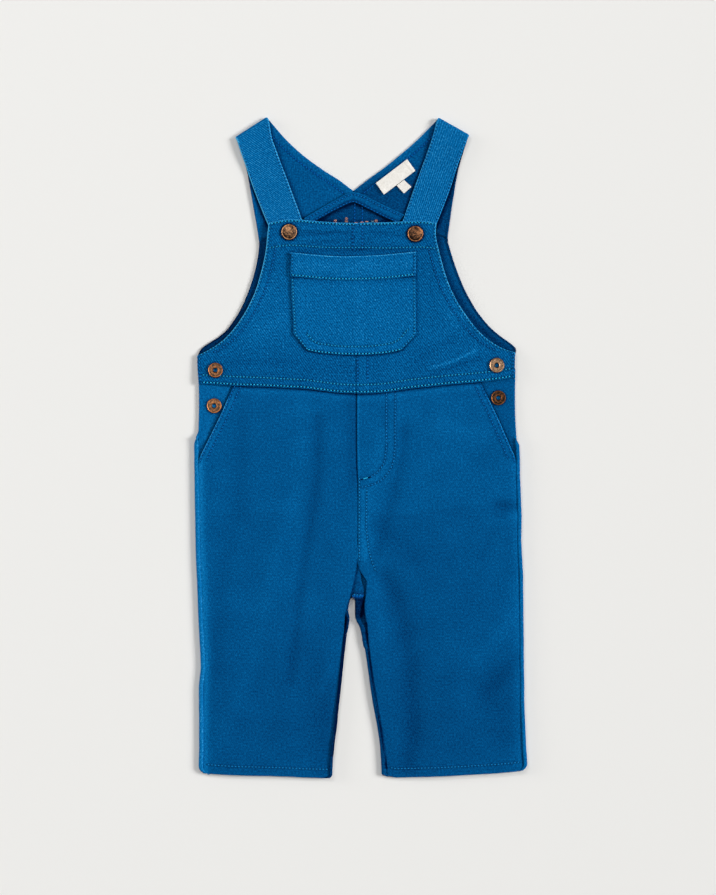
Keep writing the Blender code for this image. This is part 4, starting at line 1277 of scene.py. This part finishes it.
def roll_section(edge, inward, turn, strip, steps=12):
    """The cloth's outer face from the tip of its rolled edge to the floor, as (across, height) rows."""
    turn = max(radians(turn), 1e-3)
    length = ROLL_RADIUS * pi
    radius = length / turn
    arc = np.linspace(turn, 0.0, steps)
    x, z = -radius * np.sin(arc), radius * (1 - np.cos(arc))
    tip = np.array([[x[0] - strip * cos(turn), z[0] + strip * sin(turn) - 0.25 * min(1.0, turn)]])
    section = np.concatenate([tip, np.stack([x, z], axis=1)])
    section[:, 0] = section[:, 0] - section[:, 0].min()
    section[:, 1] += 1.3 * bell(section[:, 0], 0.0, 1.3) * (1 - min(1.0, turn))
    section[:, 0] = edge + inward * section[:, 0]
    return section


def back_edges(side, outer_up, inner_up):
    """Where a back's outer and inner edges run across, for each row's two ends up the garment."""
    sign = 1 if side == "left" else -1
    up = np.arange(-245.0, inner_up[-1] - 0.5, 3.0)
    reach = {}
    for other in ("left", "right"):
        solid = Solid("back_" + other)
        reach[other] = np.array([solid.reach(place) for place in up])
    low_side, high_side = (0, 1) if side == "left" else (1, 0)
    outer = np.interp(np.minimum(outer_up, outer_up[-1] - 6.0), up, reach[side][:, low_side])
    inner = np.interp(inner_up, up, reach[side][:, high_side])
    gap = np.interp(inner_up, up, reach["right"][:, 0] - reach["left"][:, 1])
    inner = inner + sign * np.where(gap < 1.5, gap / 2, 0.0)
    outer, inner = (smoothed(edge[:, None], 4)[:, 0] for edge in (outer, inner))
    outer += np.interp(outer_up, *np.array(EASE[side]).T)
    if side == "left":
        inner += 1.6 * ramp(inner_up, -115.0, 3.0) * (1 - ramp(inner_up, -96.0, 6.0))
    crotch = np.array(CROTCH_EDGES[side])
    within = (inner_up > crotch[0, 0]) & (inner_up < crotch[-1, 0])
    inner = np.where(within, np.interp(inner_up, crotch[:, 0], crotch[:, 1]), inner)
    if side == "left":
        inner += 0.5 * ramp(-inner_up, 140.0, 15.0) * (1 - ramp(-inner_up, 228.0, 10.0))
        inner += 0.5 * bell(inner_up, -212.0, 9.0)
    outer_corner, inner_corner = HEM_CORNER[side]
    outer -= sign * rounded(outer_up - outer_up[0], outer_corner)
    inner += sign * rounded(inner_up - inner_up[0], inner_corner)
    return outer, inner


def back_section(side, outer, inner, outer_up, inner_up):
    """One row across a back, from one rolled edge to the other, as (across, height) places."""
    sign = 1 if side == "left" else -1
    outer_roll, inner_roll = BACK_ROLLS[side]
    ends = []
    for roll, edge, up, inward in ((outer_roll, outer, outer_up, sign), (inner_roll, inner, inner_up, -sign)):
        turn = roll.turn * float(1 - ramp(up, roll.open_from, roll.open_to - roll.open_from))
        strip = roll.strip
        if roll is inner_roll and side == "right":
            strip += 5.4 * float(bell(up, -109.0, 8.0))
        if roll is inner_roll and up > -60:
            ends.append(roll_section(edge, inward, 0.0, strip) * (1, 0))
        else:
            ends.append(roll_section(edge, inward, turn, strip))
    start, end = ends[0], ends[1][::-1]
    flat_x = np.linspace(start[-1, 0], end[0, 0], 58)[1:-1]
    return np.concatenate([start, np.stack([flat_x, np.zeros_like(flat_x)], axis=1), end])


def make_back(side):
    """One back, from hem to neck seam, with its rolled edges and its middle seam."""
    name = "back_" + side
    neck_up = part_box(name)[1].y / MM
    sign = 1 if side == "left" else -1
    hem = np.array(HEMS[side])
    outer_hem, inner_hem = (hem[0, 1], hem[-1, 1]) if side == "left" else (hem[-1, 1], hem[0, 1])
    outer_top = SHOULDER_SEAM_UP[side]
    shares = Patch.shares(outer_top - outer_hem, outer_top - outer_hem, 2.1)
    outer_up = outer_hem + (outer_top - outer_hem) * shares
    inner_up = inner_hem + (neck_up - inner_hem) * shares
    outer, inner = back_edges(side, outer_up, inner_up)
    sheet, chart = [], []
    for k, share_up in enumerate(shares):
        section = back_section(side, outer[k], inner[k], outer_up[k], inner_up[k])
        share = (section[:, 0] - outer[k]) / (inner[k] - outer[k])
        top = outer_top + (neck_up - outer_top) * share
        foot = np.interp(section[:, 0], hem[:, 0], hem[:, 1])
        sheet.append(np.column_stack([section[:, 0], foot + (top - foot) * share_up, section[:, 1]]))
        run = np.concatenate([[0.0], np.cumsum(np.linalg.norm(np.diff(section, axis=0), axis=1))])
        chart.append(np.column_stack([outer[k] + sign * run, sheet[-1][:, 1]]))
    grid, chart = np.array(sheet), np.array(chart)
    tone = back_tone(side, grid)
    if side == "right":
        grid, chart, tone = grid[:, ::-1], chart[:, ::-1], tone[:, ::-1]
    piece = sheet_object(name + "_cloth", grid, chart, tone, INSIDE_TWILL, BACK_WALL, offset=1.0)
    size = (float(np.ptp(grid[..., 0]) + 8.0) * MM, float(np.ptp(grid[..., 1])) * MM)
    across = np.linalg.norm(np.diff(grid, axis=1), axis=-1)[:-1]
    upward = np.linalg.norm(np.diff(grid, axis=0), axis=-1)[:, :-1]
    if side == "right":
        inner_face = grid + (0.0, 0.0, BACK_WALL)
        floor = ground_of(inner_face)
        rows = [(spline(((x, 171.0), (x, 189.0))), floor, STITCH_PITCH, 1.0) for x in (-4.3, 1.5)]
        sew(name + "_stitches", rows)
    declare(piece, [name])


def back_tone(side, grid):
    """A back's painted light and shade: lighter on its rolled edges, more on the left, with painted shade
    inside the armhole, the neck and the crotch, along the inner seam, under the bib's top and the tape, and
    along small wrinkles.
    """
    x, y, z = (grid[..., k] for k in range(3))
    rolled = z > ROLLED_UP
    inside_leg = rolled & (np.abs(x + 2.0) < 40.0)
    if side == "left":
        light, dark, armhole_reach, seam_reach = 0.3, 0.55, 4.4, 0.9
    else:
        light, dark, armhole_reach, seam_reach = 0.14, 0.2, 3.2, 0.65
    # Painted light on the rolled edges, and painted shade on the rolled cloth inside the legs
    tone = light * rolled - dark * inside_leg
    tone -= 0.6 * bell(distance_to(INNER_SEAM[side], x, y), 0.0, seam_reach)
    tone -= 0.26 * bell(distance_to(ARMHOLES[side], x, y), 0.0, armhole_reach) * (y > 60)
    tone -= 0.24 * bell(np.abs(x - x[:, :1]), 0.0, 1.2) * (y > 70)
    tone -= 0.3 * bell(distance_to(BIB_TOP, x, y), 0.0, 2.2) * (y > 150)
    tone -= (0.12 + 0.35 * bell(distance_to(TAPE_FOOT, x, y), 0.0, 1.6)) * (y > 165)
    tone += 0.02 * bell(x, -1.0, 7.0) * ramp(y, -116.0, 4.0) * (1 - ramp(y, -90.0, 14.0))
    # Painted shade along small wrinkles at the crotch
    for wrinkle_up in (-109.4, -106.6, -103.2):
        tone -= 0.16 * bell(y, wrinkle_up - 0.12 * x, 0.55) * bell(x, -2.0, 4.0)
    if side == "right":
        # Painted shade in the crotch's hollow
        tone -= 0.25 * bell(distance_to(CROTCH_HOLLOW, x, y), 0.0, 1.0)
        hollow_across = ramp(x, -5.0, 1.5) * (1 - ramp(x, 4.5, 2.0))
        tone -= 0.27 * hollow_across * ramp(y, -130.0, 3.0) * (1 - ramp(y, -114.0, 2.0))
        tone -= 0.12 * bell(x, 3.0, 4.0) * bell(y, -132.0, 9.0)
    return tone


def make_crotch_tack():
    """The thick end of the crotch seam, sewn over with close stitches."""
    across, up = np.meshgrid(np.linspace(-1, 1, 17), np.linspace(-1, 1, 9))
    middle, middle_up = -2.3, -112.2
    swell = np.sqrt(np.maximum(1 - across**2 * 0.8 - up**2 * 0.8, 0.0))
    tack = np.stack([middle + 4.6 * across, middle_up + 3.0 * up, 4.6 + 1.1 * swell], axis=-1)
    ground = ground_of(tack)
    runs = []
    for x in np.linspace(-5.8, 1.2, 7):
        reach = 2.5 * sqrt(1 - ((x - middle) / 5.0) ** 2)
        runs.append((np.array([(x, middle_up - reach), (x + 0.6, middle_up + reach)]), ground, 9.0, 1.0))
    runs.append((np.array([(-5.6, -111.2), (1.0, -111.6)]), ground, 2.3, 0.7))
    sew("crotch_tack", runs, width=0.95, height=0.9)


# ---------------------------------------- straps and their wings, folded at the shoulder

# Corners of a strap's wing and of its front, from its end by the neck seam or the bib
STRAP_CORNERS = {
    "left": {
        "wing": ((-77.0, 158.2), (-5.4, 195.2), (-71.5, 249.5), (-94.5, 234.0)),
        "front": ((-63.8, 154.6), (-37.7, 154.8), (-71.5, 249.5), (-94.5, 234.0)),
    },
    "right": {
        "wing": ((-5.0, 195.2), (66.2, 159.8), (82.0, 236.5), (60.0, 249.5)),
        "front": ((25.6, 153.9), (51.5, 153.6), (82.0, 236.5), (60.0, 249.5)),
    },
}
# Rows of a strap's sheet up its wing, round its fold and down its front, and the columns between its edges
WING_ROWS = 60
FOLD_ROWS = 14
FRONT_ROWS = 72
STRAP_COLUMNS = 34
# How far the fold stands out past a half round, how far the wing's outer edge is let out to +X, and how far
# the front sags between the fold and the bib
FOLD_BULGE = {"left": 0.5, "right": -0.1}
WING_LET_OUT = {"left": -1.1, "right": 0.4}
STRAP_SAG = 0.75
# How far the wing's neck edge bows up, then where from the neck seam and how long, in shares of the wing
NECK_BOWS = {
    "left": ((0.8, 0.15, 0.11),),
    "right": ((0.5, 0.15, 0.11), (0.3, 0.04, 0.06), (-0.6, 0.33, 0.12)),
}


def strap_patches(side, solid):
    """The strap's wing, as it lies on the floor, and its front."""

    def on_floor(face):
        return face.normal.z < -0.9 and max(vert.co.z for vert in face.verts) < 0.15

    def in_front(face):
        return face.normal.z > 0.985 and min(vert.co.z for vert in face.verts) > 3.0

    wing = solid.sides(STRAP_CORNERS[side]["wing"], on_floor)
    front = dict(zip(SIDES, solid.sides(STRAP_CORNERS[side]["front"], in_front)))
    return Patch(wing, STRAP_PITCH), Patch(ease_sides("strap_" + side, front).values(), STRAP_PITCH)


def strap_face(side, solid, wing, front, u, outer):
    """Rows of the strap's outer face: up its wing, round the fold at the shoulder and down its front."""
    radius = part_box("strap_" + side)[1].z / MM / 2
    tip = wing.at(u, np.ones_like(u))
    fold = tip[-1] - tip[0]
    fold_wide = np.linalg.norm(fold)
    outward = np.array([-fold[1], fold[0]]) / fold_wide
    if outward @ (tip - wing.at(u, np.full_like(u, 0.97))).mean(0) <= 0:
        outward = -outward
    seam_way = wing.at(u, np.zeros_like(u)) - wing.at(u, np.full_like(u, 0.02))
    seam_way /= np.linalg.norm(seam_way, axis=1)[:, None]
    layers = []
    for v in np.linspace(0.0, 1.0, WING_ROWS):
        place = wing.at(u, np.full_like(u, v)) + seam_way * 1.3 * float(1 - ramp(v, 0.0, 0.03))
        place[:, 0] += WING_LET_OUT[side] * float(bell(v, 0.42, 0.3)) * (1 - outer) ** 3
        for bow, where, length in NECK_BOWS[side]:
            place[:, 1] += bow * float(bell(v, where, length)) * outer**3
        layers.append(np.column_stack([place, np.zeros(len(u))]))
    fullness = 1 + rounded(np.minimum(u, 1 - u) * fold_wide, 1.6) / 1.6 * 0.4
    for angle in np.linspace(0, pi, FOLD_ROWS)[1:-1]:
        place = tip + outward * (radius + FOLD_BULGE[side]) * sin(angle) * fullness[:, None]
        layers.append(np.column_stack([place, np.full(len(u), radius * (1 - cos(angle)))]))
    start = front.at(u, np.ones_like(u))
    for v in np.linspace(1.0, 0.0, FRONT_ROWS):
        place = front.at(u, np.full_like(u, v)) + (tip - start) * float(ramp(v, 0.75, 0.25))
        at_fold = float(ramp(v, 0.8, 0.2))
        under = front.at(np.clip(u, 0.06, 0.94), np.full_like(u, min(v, 0.985)))
        height = solid.top(*under.T).mean() * (1 - at_fold) + 2 * radius * at_fold
        height -= STRAP_SAG * float(ramp(v, 0.1, 0.15) * (1 - ramp(v, 0.6, 0.3)))
        layers.append(np.column_stack([place, np.full(len(u), height)]))
    grid = np.array(layers)
    grid[:, :, 2] = smoothed(grid[:, :, 2], 2)
    return grid


def strap_lift(grid, from_edge, from_outer):
    """Turned edges and a little unevenness on the front, and the wing's outer edge standing up."""
    lift = np.zeros(grid.shape[:2])
    x, y = grid[-FRONT_ROWS:, :, 0], grid[-FRONT_ROWS:, :, 1]
    away = from_edge[-FRONT_ROWS:]
    swell = rounded(away, 0.6) + 0.2 * bell(away, 1.6, 1.4) - 0.12 * bell(away, EDGE_ROW, 0.5)
    lift[-FRONT_ROWS:] = swell + 0.1 * ripple(x, y, 16.0, 5.0)
    standing = 1 - ramp(np.linspace(0.0, 1.0, WING_ROWS), 0.8, 0.15)
    lift[:WING_ROWS] += 1.2 * bell(from_outer[:WING_ROWS], 0.0, 1.2) * standing[:, None]
    return lift


def strap_tone(side, grid, front, u, from_edge, from_neck):
    """Painted highlights on the front's edges. On the wing: a painted highlight on its neck edge, painted
    shade along its sewn row, beside the front's edges and under the bib's top, and darker overall, the right
    wing more so towards the bib.
    """
    # Painted highlights along the front's edges
    left_edge_highlight, right_edge_highlight = (0.6, 0.28) if side == "left" else (0.26, 0.12)
    tone = np.where(u > 0.5, right_edge_highlight, left_edge_highlight) * bell(from_edge, 0.4, 0.6)
    x, y = grid[:WING_ROWS, :, 0], grid[:WING_ROWS, :, 1]
    away = from_neck[:WING_ROWS]
    # On the wing: a painted highlight on the neck edge, painted shade along the sewn row, and darker overall
    wing = 0.14 * bell(away, 0.5, 0.8) + 0.05 * bell(away, 3.4, 2.0) - 0.1 * bell(away, 6.4, 0.9) - 0.14
    # Painted shadow beside the front's edges and under the bib's top
    wing -= 0.5 * bell(distance_to(front.row(side, 0.0), x, y), 0.0, 2.0)
    wing -= 0.3 * bell(distance_to(front.row("right" if side == "left" else "left", 0.0), x, y), 0.0, 1.8)
    wing -= 0.3 * bell(distance_to(BIB_TOP, x, y), 0.0, 2.2)
    if side == "right":
        wing -= 0.14 * (1 - ramp(y, 196.0, 26.0))
    tone[:WING_ROWS] = wing
    return tone


def make_strap(side):
    """A strap: its wing on the floor, the fold at the shoulder and its front down to the bib."""
    name = "strap_" + side
    solid = Solid(name)
    wing, front = strap_patches(side, solid)
    near = np.array([0.0, 0.006, 0.02, 0.045])
    u = np.concatenate([near, np.linspace(0.08, 0.92, STRAP_COLUMNS), 1 - near[::-1]])
    outer = u if side == "left" else 1 - u
    grid = strap_face(side, solid, wing, front, u, outer)
    wide = np.linalg.norm(grid[:, -1] - grid[:, 0], axis=-1)
    shares = (np.minimum(u, 1 - u), outer, 1 - outer)
    from_edge, from_outer, from_neck = (share * wide[:, None] for share in shares)
    grid[:, :, 2] += strap_lift(grid, from_edge, from_outer)
    run = np.concatenate([[0.0], np.cumsum(np.linalg.norm(np.diff(grid[:, len(u) // 2], axis=0), axis=-1))])
    chart = np.stack([(u - 0.5) * wide[:, None], np.repeat(-run[:, None], len(u), axis=1)], axis=-1)
    tone = strap_tone(side, grid, front, u, from_edge, from_neck)
    calm = np.zeros(tone.shape)
    calm[:WING_ROWS] = 0.75
    # The sheet is the outer face: it looks down on the wing and up on the front.
    grid, chart, tone = grid[:, ::-1], chart[:, ::-1], tone[:, ::-1]
    piece = sheet_object(name + "_cloth", grid, chart, tone, STRAP_TWILL, STRAP_WALL)
    give_points(piece.data, "calm", calm)
    ground = ground_of(grid[-FRONT_ROWS:])
    runs = [(front.row(edge, EDGE_ROW, 3.0, 3.0), ground, STITCH_PITCH, 0.8) for edge in ("left", "right")]
    upper = grid[:WING_ROWS].copy()
    upper[..., 2] = STRAP_WALL - 0.05
    neckline = wing.row("right" if side == "left" else "left", 6.4, 2.0, 5.0)
    runs.append((neckline, ground_of(upper), STITCH_PITCH, 1.0))
    stitches = sew(name + "_stitches", runs)
    declare(piece, [name])


# ---------------------------------------- studs, labels and embroidery


def select_faces(shape, wanted):
    bpy.ops.object.mode_set(mode="OBJECT")
    for face in shape.data.polygons:
        face.select = wanted(face)
    bpy.ops.object.mode_set(mode="EDIT")


def begin_piece():
    if bpy.context.mode != "OBJECT":
        bpy.ops.object.mode_set(mode="OBJECT")
    bpy.ops.object.select_all(action="DESELECT")
    bpy.context.tool_settings.mesh_select_mode = (False, False, True)


def settle(piece, name, material, centre, wear_and_painted_light):
    """Ends a turned piece: its place in the mesh, smooth faces, and each point's wear and painted light."""
    bpy.ops.object.mode_set(mode="OBJECT")
    bpy.ops.object.transform_apply(location=True, rotation=True, scale=True)
    bpy.ops.object.shade_smooth_by_angle(angle=radians(35))
    piece.name = name
    piece.data.name = name
    piece.data.materials.clear()
    piece.data.materials.append(material)
    give_points(piece.data, "wear_and_painted_light", [wear_and_painted_light(vert.co, centre) for vert in piece.data.vertices])
    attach(piece, "root")
    return piece


# How worn a stud is, by how far from its middle in radii. Below nothing it is tarnished. The dark at a stud's
# outer rim and round a ring's hole is painted shadow.
CAP_WEAR_AND_PAINTED_LIGHT = (
    (0.0, 0.05), (0.6, 0.0), (0.76, -0.1), (0.82, -0.2), (0.86, 0.3), (0.9, 0.75), (0.945, 0.7),
    (0.975, -0.9),
)
RING_WEAR_AND_PAINTED_LIGHT = (
    (0.27, -0.9), (0.31, -0.7), (0.36, 0.1), (0.42, 0.6), (0.46, 0.1), (0.49, -0.2), (0.55, 0.1),
    (0.72, 0.05), (0.78, -0.3), (0.82, -0.1), (0.87, 0.6), (0.945, 0.7), (0.985, -0.4), (1.0, -0.9),
)


# Steps of a cap's and a ring's turned face: inset in radii (below nothing, a swelling out) and rise in depths
CAP_STEPS = (
    (-0.06, 0.12), (-0.001, 0.12), (0.03, 0.10), (0.05, 0.05), (0.05, -0.06), (0.03, 0.0), (0.09, 0.13),
    (0.14, 0.12), (0.2, 0.08), (0.2, 0.02),
)
RING_STEPS = ((0.015, 0.06), (0.04, 0.14), (0.07, 0.02), (0.05, -0.16), (0.04, -0.1), (0.06, 0.06))


def stud_cap(node_name, material, glint_place):
    """A press-stud cap: a domed disc with a rolled rim and a shallow ring round its middle.

    The last argument is the place, in radii, of a painted highlight on the face.
    """
    low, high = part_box(node_name)
    radius = (high.x - low.x) / 2 * 0.975
    centre = (low + high) / 2
    depth = high.z - low.z
    begin_piece()
    bpy.ops.mesh.primitive_cylinder_add(
        vertices=64, radius=radius * 0.94, depth=depth * 0.25,
        location=(centre.x, centre.y, low.z + depth * 0.125),
    )
    piece = bpy.context.active_object
    bpy.ops.object.mode_set(mode="EDIT")
    for thickness, rise in CAP_STEPS:
        select_faces(piece, lambda face: face.normal.z > 0.9 and len(face.vertices) > 20)
        if thickness > 0:
            bpy.ops.mesh.inset(thickness=thickness * radius, depth=rise * depth)
        else:
            bpy.ops.mesh.extrude_region_move(TRANSFORM_OT_translate={"value": (0, 0, rise * depth)})
            bpy.ops.transform.resize(value=(1 - thickness, 1 - thickness, 1))

    def wear_and_painted_light(place, middle):
        across = (place - middle).xy / radius
        # A painted highlight on one side of the face, at the given place
        painted_glint = bell((across - Vector(glint_place)).length, 0.0, 0.45) * (across.length < 0.97)
        return float(np.interp(across.length, *np.array(CAP_WEAR_AND_PAINTED_LIGHT).T) + 0.4 * painted_glint)

    settle(piece, node_name + "_cap", material, centre, wear_and_painted_light)
    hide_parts(node_name)


def stud_ring(node_name, material):
    """An open ring stud: rounded lips at its rim and at its hole with a sunk band between."""
    low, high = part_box(node_name)
    radius = (high.x - low.x) / 2
    hole = 0.27 * radius
    centre = (low + high) / 2
    depth = high.z - low.z
    begin_piece()
    tube = {"vertices": 56, "depth": depth * 0.8, "location": (centre.x, centre.y, low.z + depth * 0.4)}
    bpy.ops.mesh.primitive_cylinder_add(radius=radius, end_fill_type="NOTHING", **tube)
    piece = bpy.context.active_object
    bpy.ops.object.mode_set(mode="EDIT")
    bpy.ops.mesh.select_all(action="DESELECT")
    bpy.ops.mesh.primitive_cylinder_add(radius=hole, end_fill_type="NOTHING", **tube)
    bpy.ops.mesh.flip_normals()
    for level in (-depth * 0.4, depth * 0.4):
        bpy.ops.object.mode_set(mode="OBJECT")
        for edge in piece.data.edges:
            edge.select = all(abs(piece.data.vertices[k].co.z - level) < 1e-6 for k in edge.vertices)
        for vert in piece.data.vertices:
            vert.select = abs(vert.co.z - level) < 1e-6
        for face in piece.data.polygons:
            face.select = False
        bpy.ops.object.mode_set(mode="EDIT")
        bpy.context.tool_settings.mesh_select_mode = (False, True, False)
        bpy.ops.mesh.bridge_edge_loops()
    bpy.context.tool_settings.mesh_select_mode = (False, False, True)
    bpy.ops.mesh.select_all(action="SELECT")
    bpy.ops.mesh.normals_make_consistent(inside=False)
    for thickness, rise in RING_STEPS:
        select_faces(piece, lambda face: face.normal.z > 0.9)
        bpy.ops.mesh.inset(thickness=thickness * radius, depth=rise * depth)

    def wear_and_painted_light(place, middle):
        return float(np.interp((place - middle).xy.length / radius, *np.array(RING_WEAR_AND_PAINTED_LIGHT).T))

    settle(piece, node_name + "_ring", material, centre, wear_and_painted_light)
    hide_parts(node_name)


# Each stud's metal: its worn and its tarnished colour, its roughness and how bare the metal is. The studs get
# lighter and darker copies of one copper, painted light for how each stud catches the light. A cap also has
# the place of its painted highlight.
Metal = namedtuple("Metal", "title light dark roughness bare")
CAPS = {
    "bib_snap_left": (Metal("Copper cap", (240, 178, 126), (62, 48, 42), 0.4, 0.12), (-0.15, 0.6)),
    "bib_snap_right": (Metal("Copper cap dark", (220, 150, 100), (54, 40, 34), 0.4, 0.08), (0.65, 0.45)),
}
RINGS = {
    "side_snap_left_upper": Metal("Copper ring", (218, 142, 88), (80, 64, 52), 0.42, 0.2),
    "side_snap_left_lower": Metal("Copper ring low", (224, 150, 94), (86, 68, 54), 0.42, 0.22),
    "side_snap_right_upper": Metal("Copper ring bright", (206, 162, 124), (76, 66, 58), 0.36, 0.35),
    "side_snap_right_lower": Metal("Copper ring dark", (168, 108, 64), (42, 32, 27), 0.42, 0.1),
}


def make_studs():
    for name, (metal, glint_place) in CAPS.items():
        stud_cap(name, copper(metal), glint_place)
    for name, metal in RINGS.items():
        stud_ring(name, copper(metal))


LABEL_CORNERS = ((11.6, 201.1), (17.9, 192.4), (41.8, 210.6), (35.5, 219.4))
TAB_CORNERS = ((27.4, 199.3), (33.1, 193.2), (38.8, 198.4), (33.1, 203.6))


def make_label(name, corners, material, folded_ends):
    """A woven label, its ends folded under or one end sewn in, with a little lift along its free edges."""
    solid = Solid(name)
    patch = Patch(solid.sides(corners), LABEL_PITCH)
    lift = 0.25 * ripple(patch.x, patch.y, 9.0, 7.0)
    tone = 0.15 * ripple(patch.x, patch.y, 6.0, 8.0)
    if folded_ends:
        from_end = np.minimum(patch.bottom, patch.top)
        lift += 0.25 * (1 - ramp(from_end, 2.6, 0.6))
        # Painted shade along the fold of each end
        tone -= 0.5 * bell(from_end, 2.9, 0.3)
    else:
        lift += 0.1 * bell(patch.left, 0.0, 1.0)
    from_edge = np.minimum(np.minimum(patch.left, patch.right), np.minimum(patch.top, patch.bottom))
    lift += rounded(from_edge, 0.3)
    height = patch.heights(solid, 2) + lift
    grid = np.stack([patch.x, patch.y, height], axis=-1)
    chart = np.stack([patch.left, patch.bottom], axis=-1)
    piece = sheet_object(name + "_tape", grid, chart, tone, material, LABEL_WALL)
    declare(piece, [name])


def make_labels():
    tape = woven_tape()
    make_label("label", LABEL_CORNERS, tape, True)
    make_label("size_tab", TAB_CORNERS, tape, False)


# Sprigs on the inside of the back: where each one stands, how tall it is and which thread it has
Sprig = namedtuple("Sprig", "x foot height thread")
SPRIGS = (
    Sprig(-19.0, 168.4, 5.2, "coral"),
    Sprig(-10.6, 167.6, 7.6, "coral"),
    Sprig(-3.4, 167.8, 3.8, "coral"),
    Sprig(1.2, 168.2, 4.0, "coral"),
    Sprig(4.8, 167.6, 5.0, "coral"),
    Sprig(9.2, 168.0, 4.6, "slate"),
    Sprig(12.0, 168.2, 5.4, "coral"),
)


def make_sprigs():
    """Small embroidered sprigs: a stem of stitches with leaves in pairs, and a bud on top."""
    inside = ground_of(np.array([[(x, y, 1.05) for x in (-60.0, 60.0)] for y in (150.0, 190.0)]))
    threads = {
        "coral": thread("Coral thread", linear(226, 170, 152), linear(96, 70, 72), linear(190, 140, 124)),
        "slate": thread("Slate thread", linear(120, 170, 196), linear(40, 70, 96), linear(90, 130, 160)),
    }
    for name, material in threads.items():
        runs = []
        for sprig in SPRIGS:
            if sprig.thread != name:
                continue
            top = sprig.foot + sprig.height
            runs.append((np.array([(sprig.x, sprig.foot), (sprig.x, top - 1.0)]), inside, 1.4, 0.0))
            for k, up in enumerate(np.arange(sprig.foot + 1.2, top - 0.6, 1.3)):
                for way in (-1, 1):
                    tip = (sprig.x + way * (1.5 - 0.12 * k), up + 1.1)
                    runs.append((np.array([(sprig.x + way * 0.2, up), tip]), inside, 2.2, 0.0))
            for turn in (40, 90, 140):
                tip = (sprig.x + 1.3 * cos(radians(turn)), top - 1.0 + 1.3 * sin(radians(turn)))
                runs.append((np.array([(sprig.x, top - 1.0), tip]), inside, 2.0, 0.0))
        sew("sprigs_" + name, runs, material, width=0.45, height=0.24)


# ---------------------------------------- floor, light and camera


def plain(name, colour, roughness):
    made, _, shader = new_material(name, roughness, 0.1)
    shader.inputs["Base Color"].default_value = colour
    return made


def make_camera():
    """A long lens straight above the garment."""
    view = bpy.data.cameras.new("Camera")
    view.sensor_fit = "VERTICAL"
    view.sensor_height = 36.0
    view.lens = 170.0
    camera = bpy.data.objects.new("Camera", view)
    camera.location = (-0.0018, 0.0004, 3.212)
    bpy.context.scene.collection.objects.link(camera)
    bpy.context.scene.camera = camera


def add_sun(name, come_from, spread, power):
    """Even light from one way, its shadows softened by the spread in degrees."""
    lamp = bpy.data.lights.new(name, "SUN")
    lamp.angle = radians(spread)
    lamp.energy = power
    made = bpy.data.objects.new(name, lamp)
    made.rotation_euler = (-Vector(come_from)).to_track_quat("-Z", "Y").to_euler()
    bpy.context.scene.collection.objects.link(made)


def add_panel(name, place, size, power):
    """A round soft box that faces the garment."""
    lamp = bpy.data.lights.new(name, "AREA")
    lamp.shape = "DISK"
    lamp.size = size
    lamp.energy = power
    made = bpy.data.objects.new(name, lamp)
    made.location = place
    made.rotation_euler = (-Vector(place)).to_track_quat("-Z", "Y").to_euler()
    bpy.context.scene.collection.objects.link(made)


def make_studio():
    bpy.context.scene.view_settings.view_transform = "Standard"
    world = bpy.data.worlds.new("Studio")
    world.use_nodes = True
    world.node_tree.nodes["Background"].inputs["Color"].default_value = (0.97, 0.985, 1.0, 1.0)
    world.node_tree.nodes["Background"].inputs["Strength"].default_value = 0.13
    bpy.context.scene.world = world
    add_sun("Overhead", (0.05, 0.12, 1.0), 22.0, 0.6)
    add_sun("Side", (1.0, 0.1, 0.7), 24.0, 2.5)
    add_sun("Low left", (-1.0, 0.25, 0.3), 22.0, 0.7)
    add_panel("Soft box", (-1.6, 2.2, 3.6), 1.6, 40.0)
    bpy.ops.mesh.primitive_plane_add(size=8.0, location=(0.0, 0.0, -0.0001))
    floor = bpy.context.active_object
    floor.name = "Floor"
    floor.data.materials.append(plain("Pale floor", (0.86, 0.852, 0.828, 1.0), 0.9))


begin_piece()
make_camera()
make_studio()
make_fronts()
make_pocket()
make_tape()
for side in ("left", "right"):
    make_back(side)
    make_strap(side)
make_crotch_tack()
make_studs()
make_labels()
make_sprigs()
begin_piece()
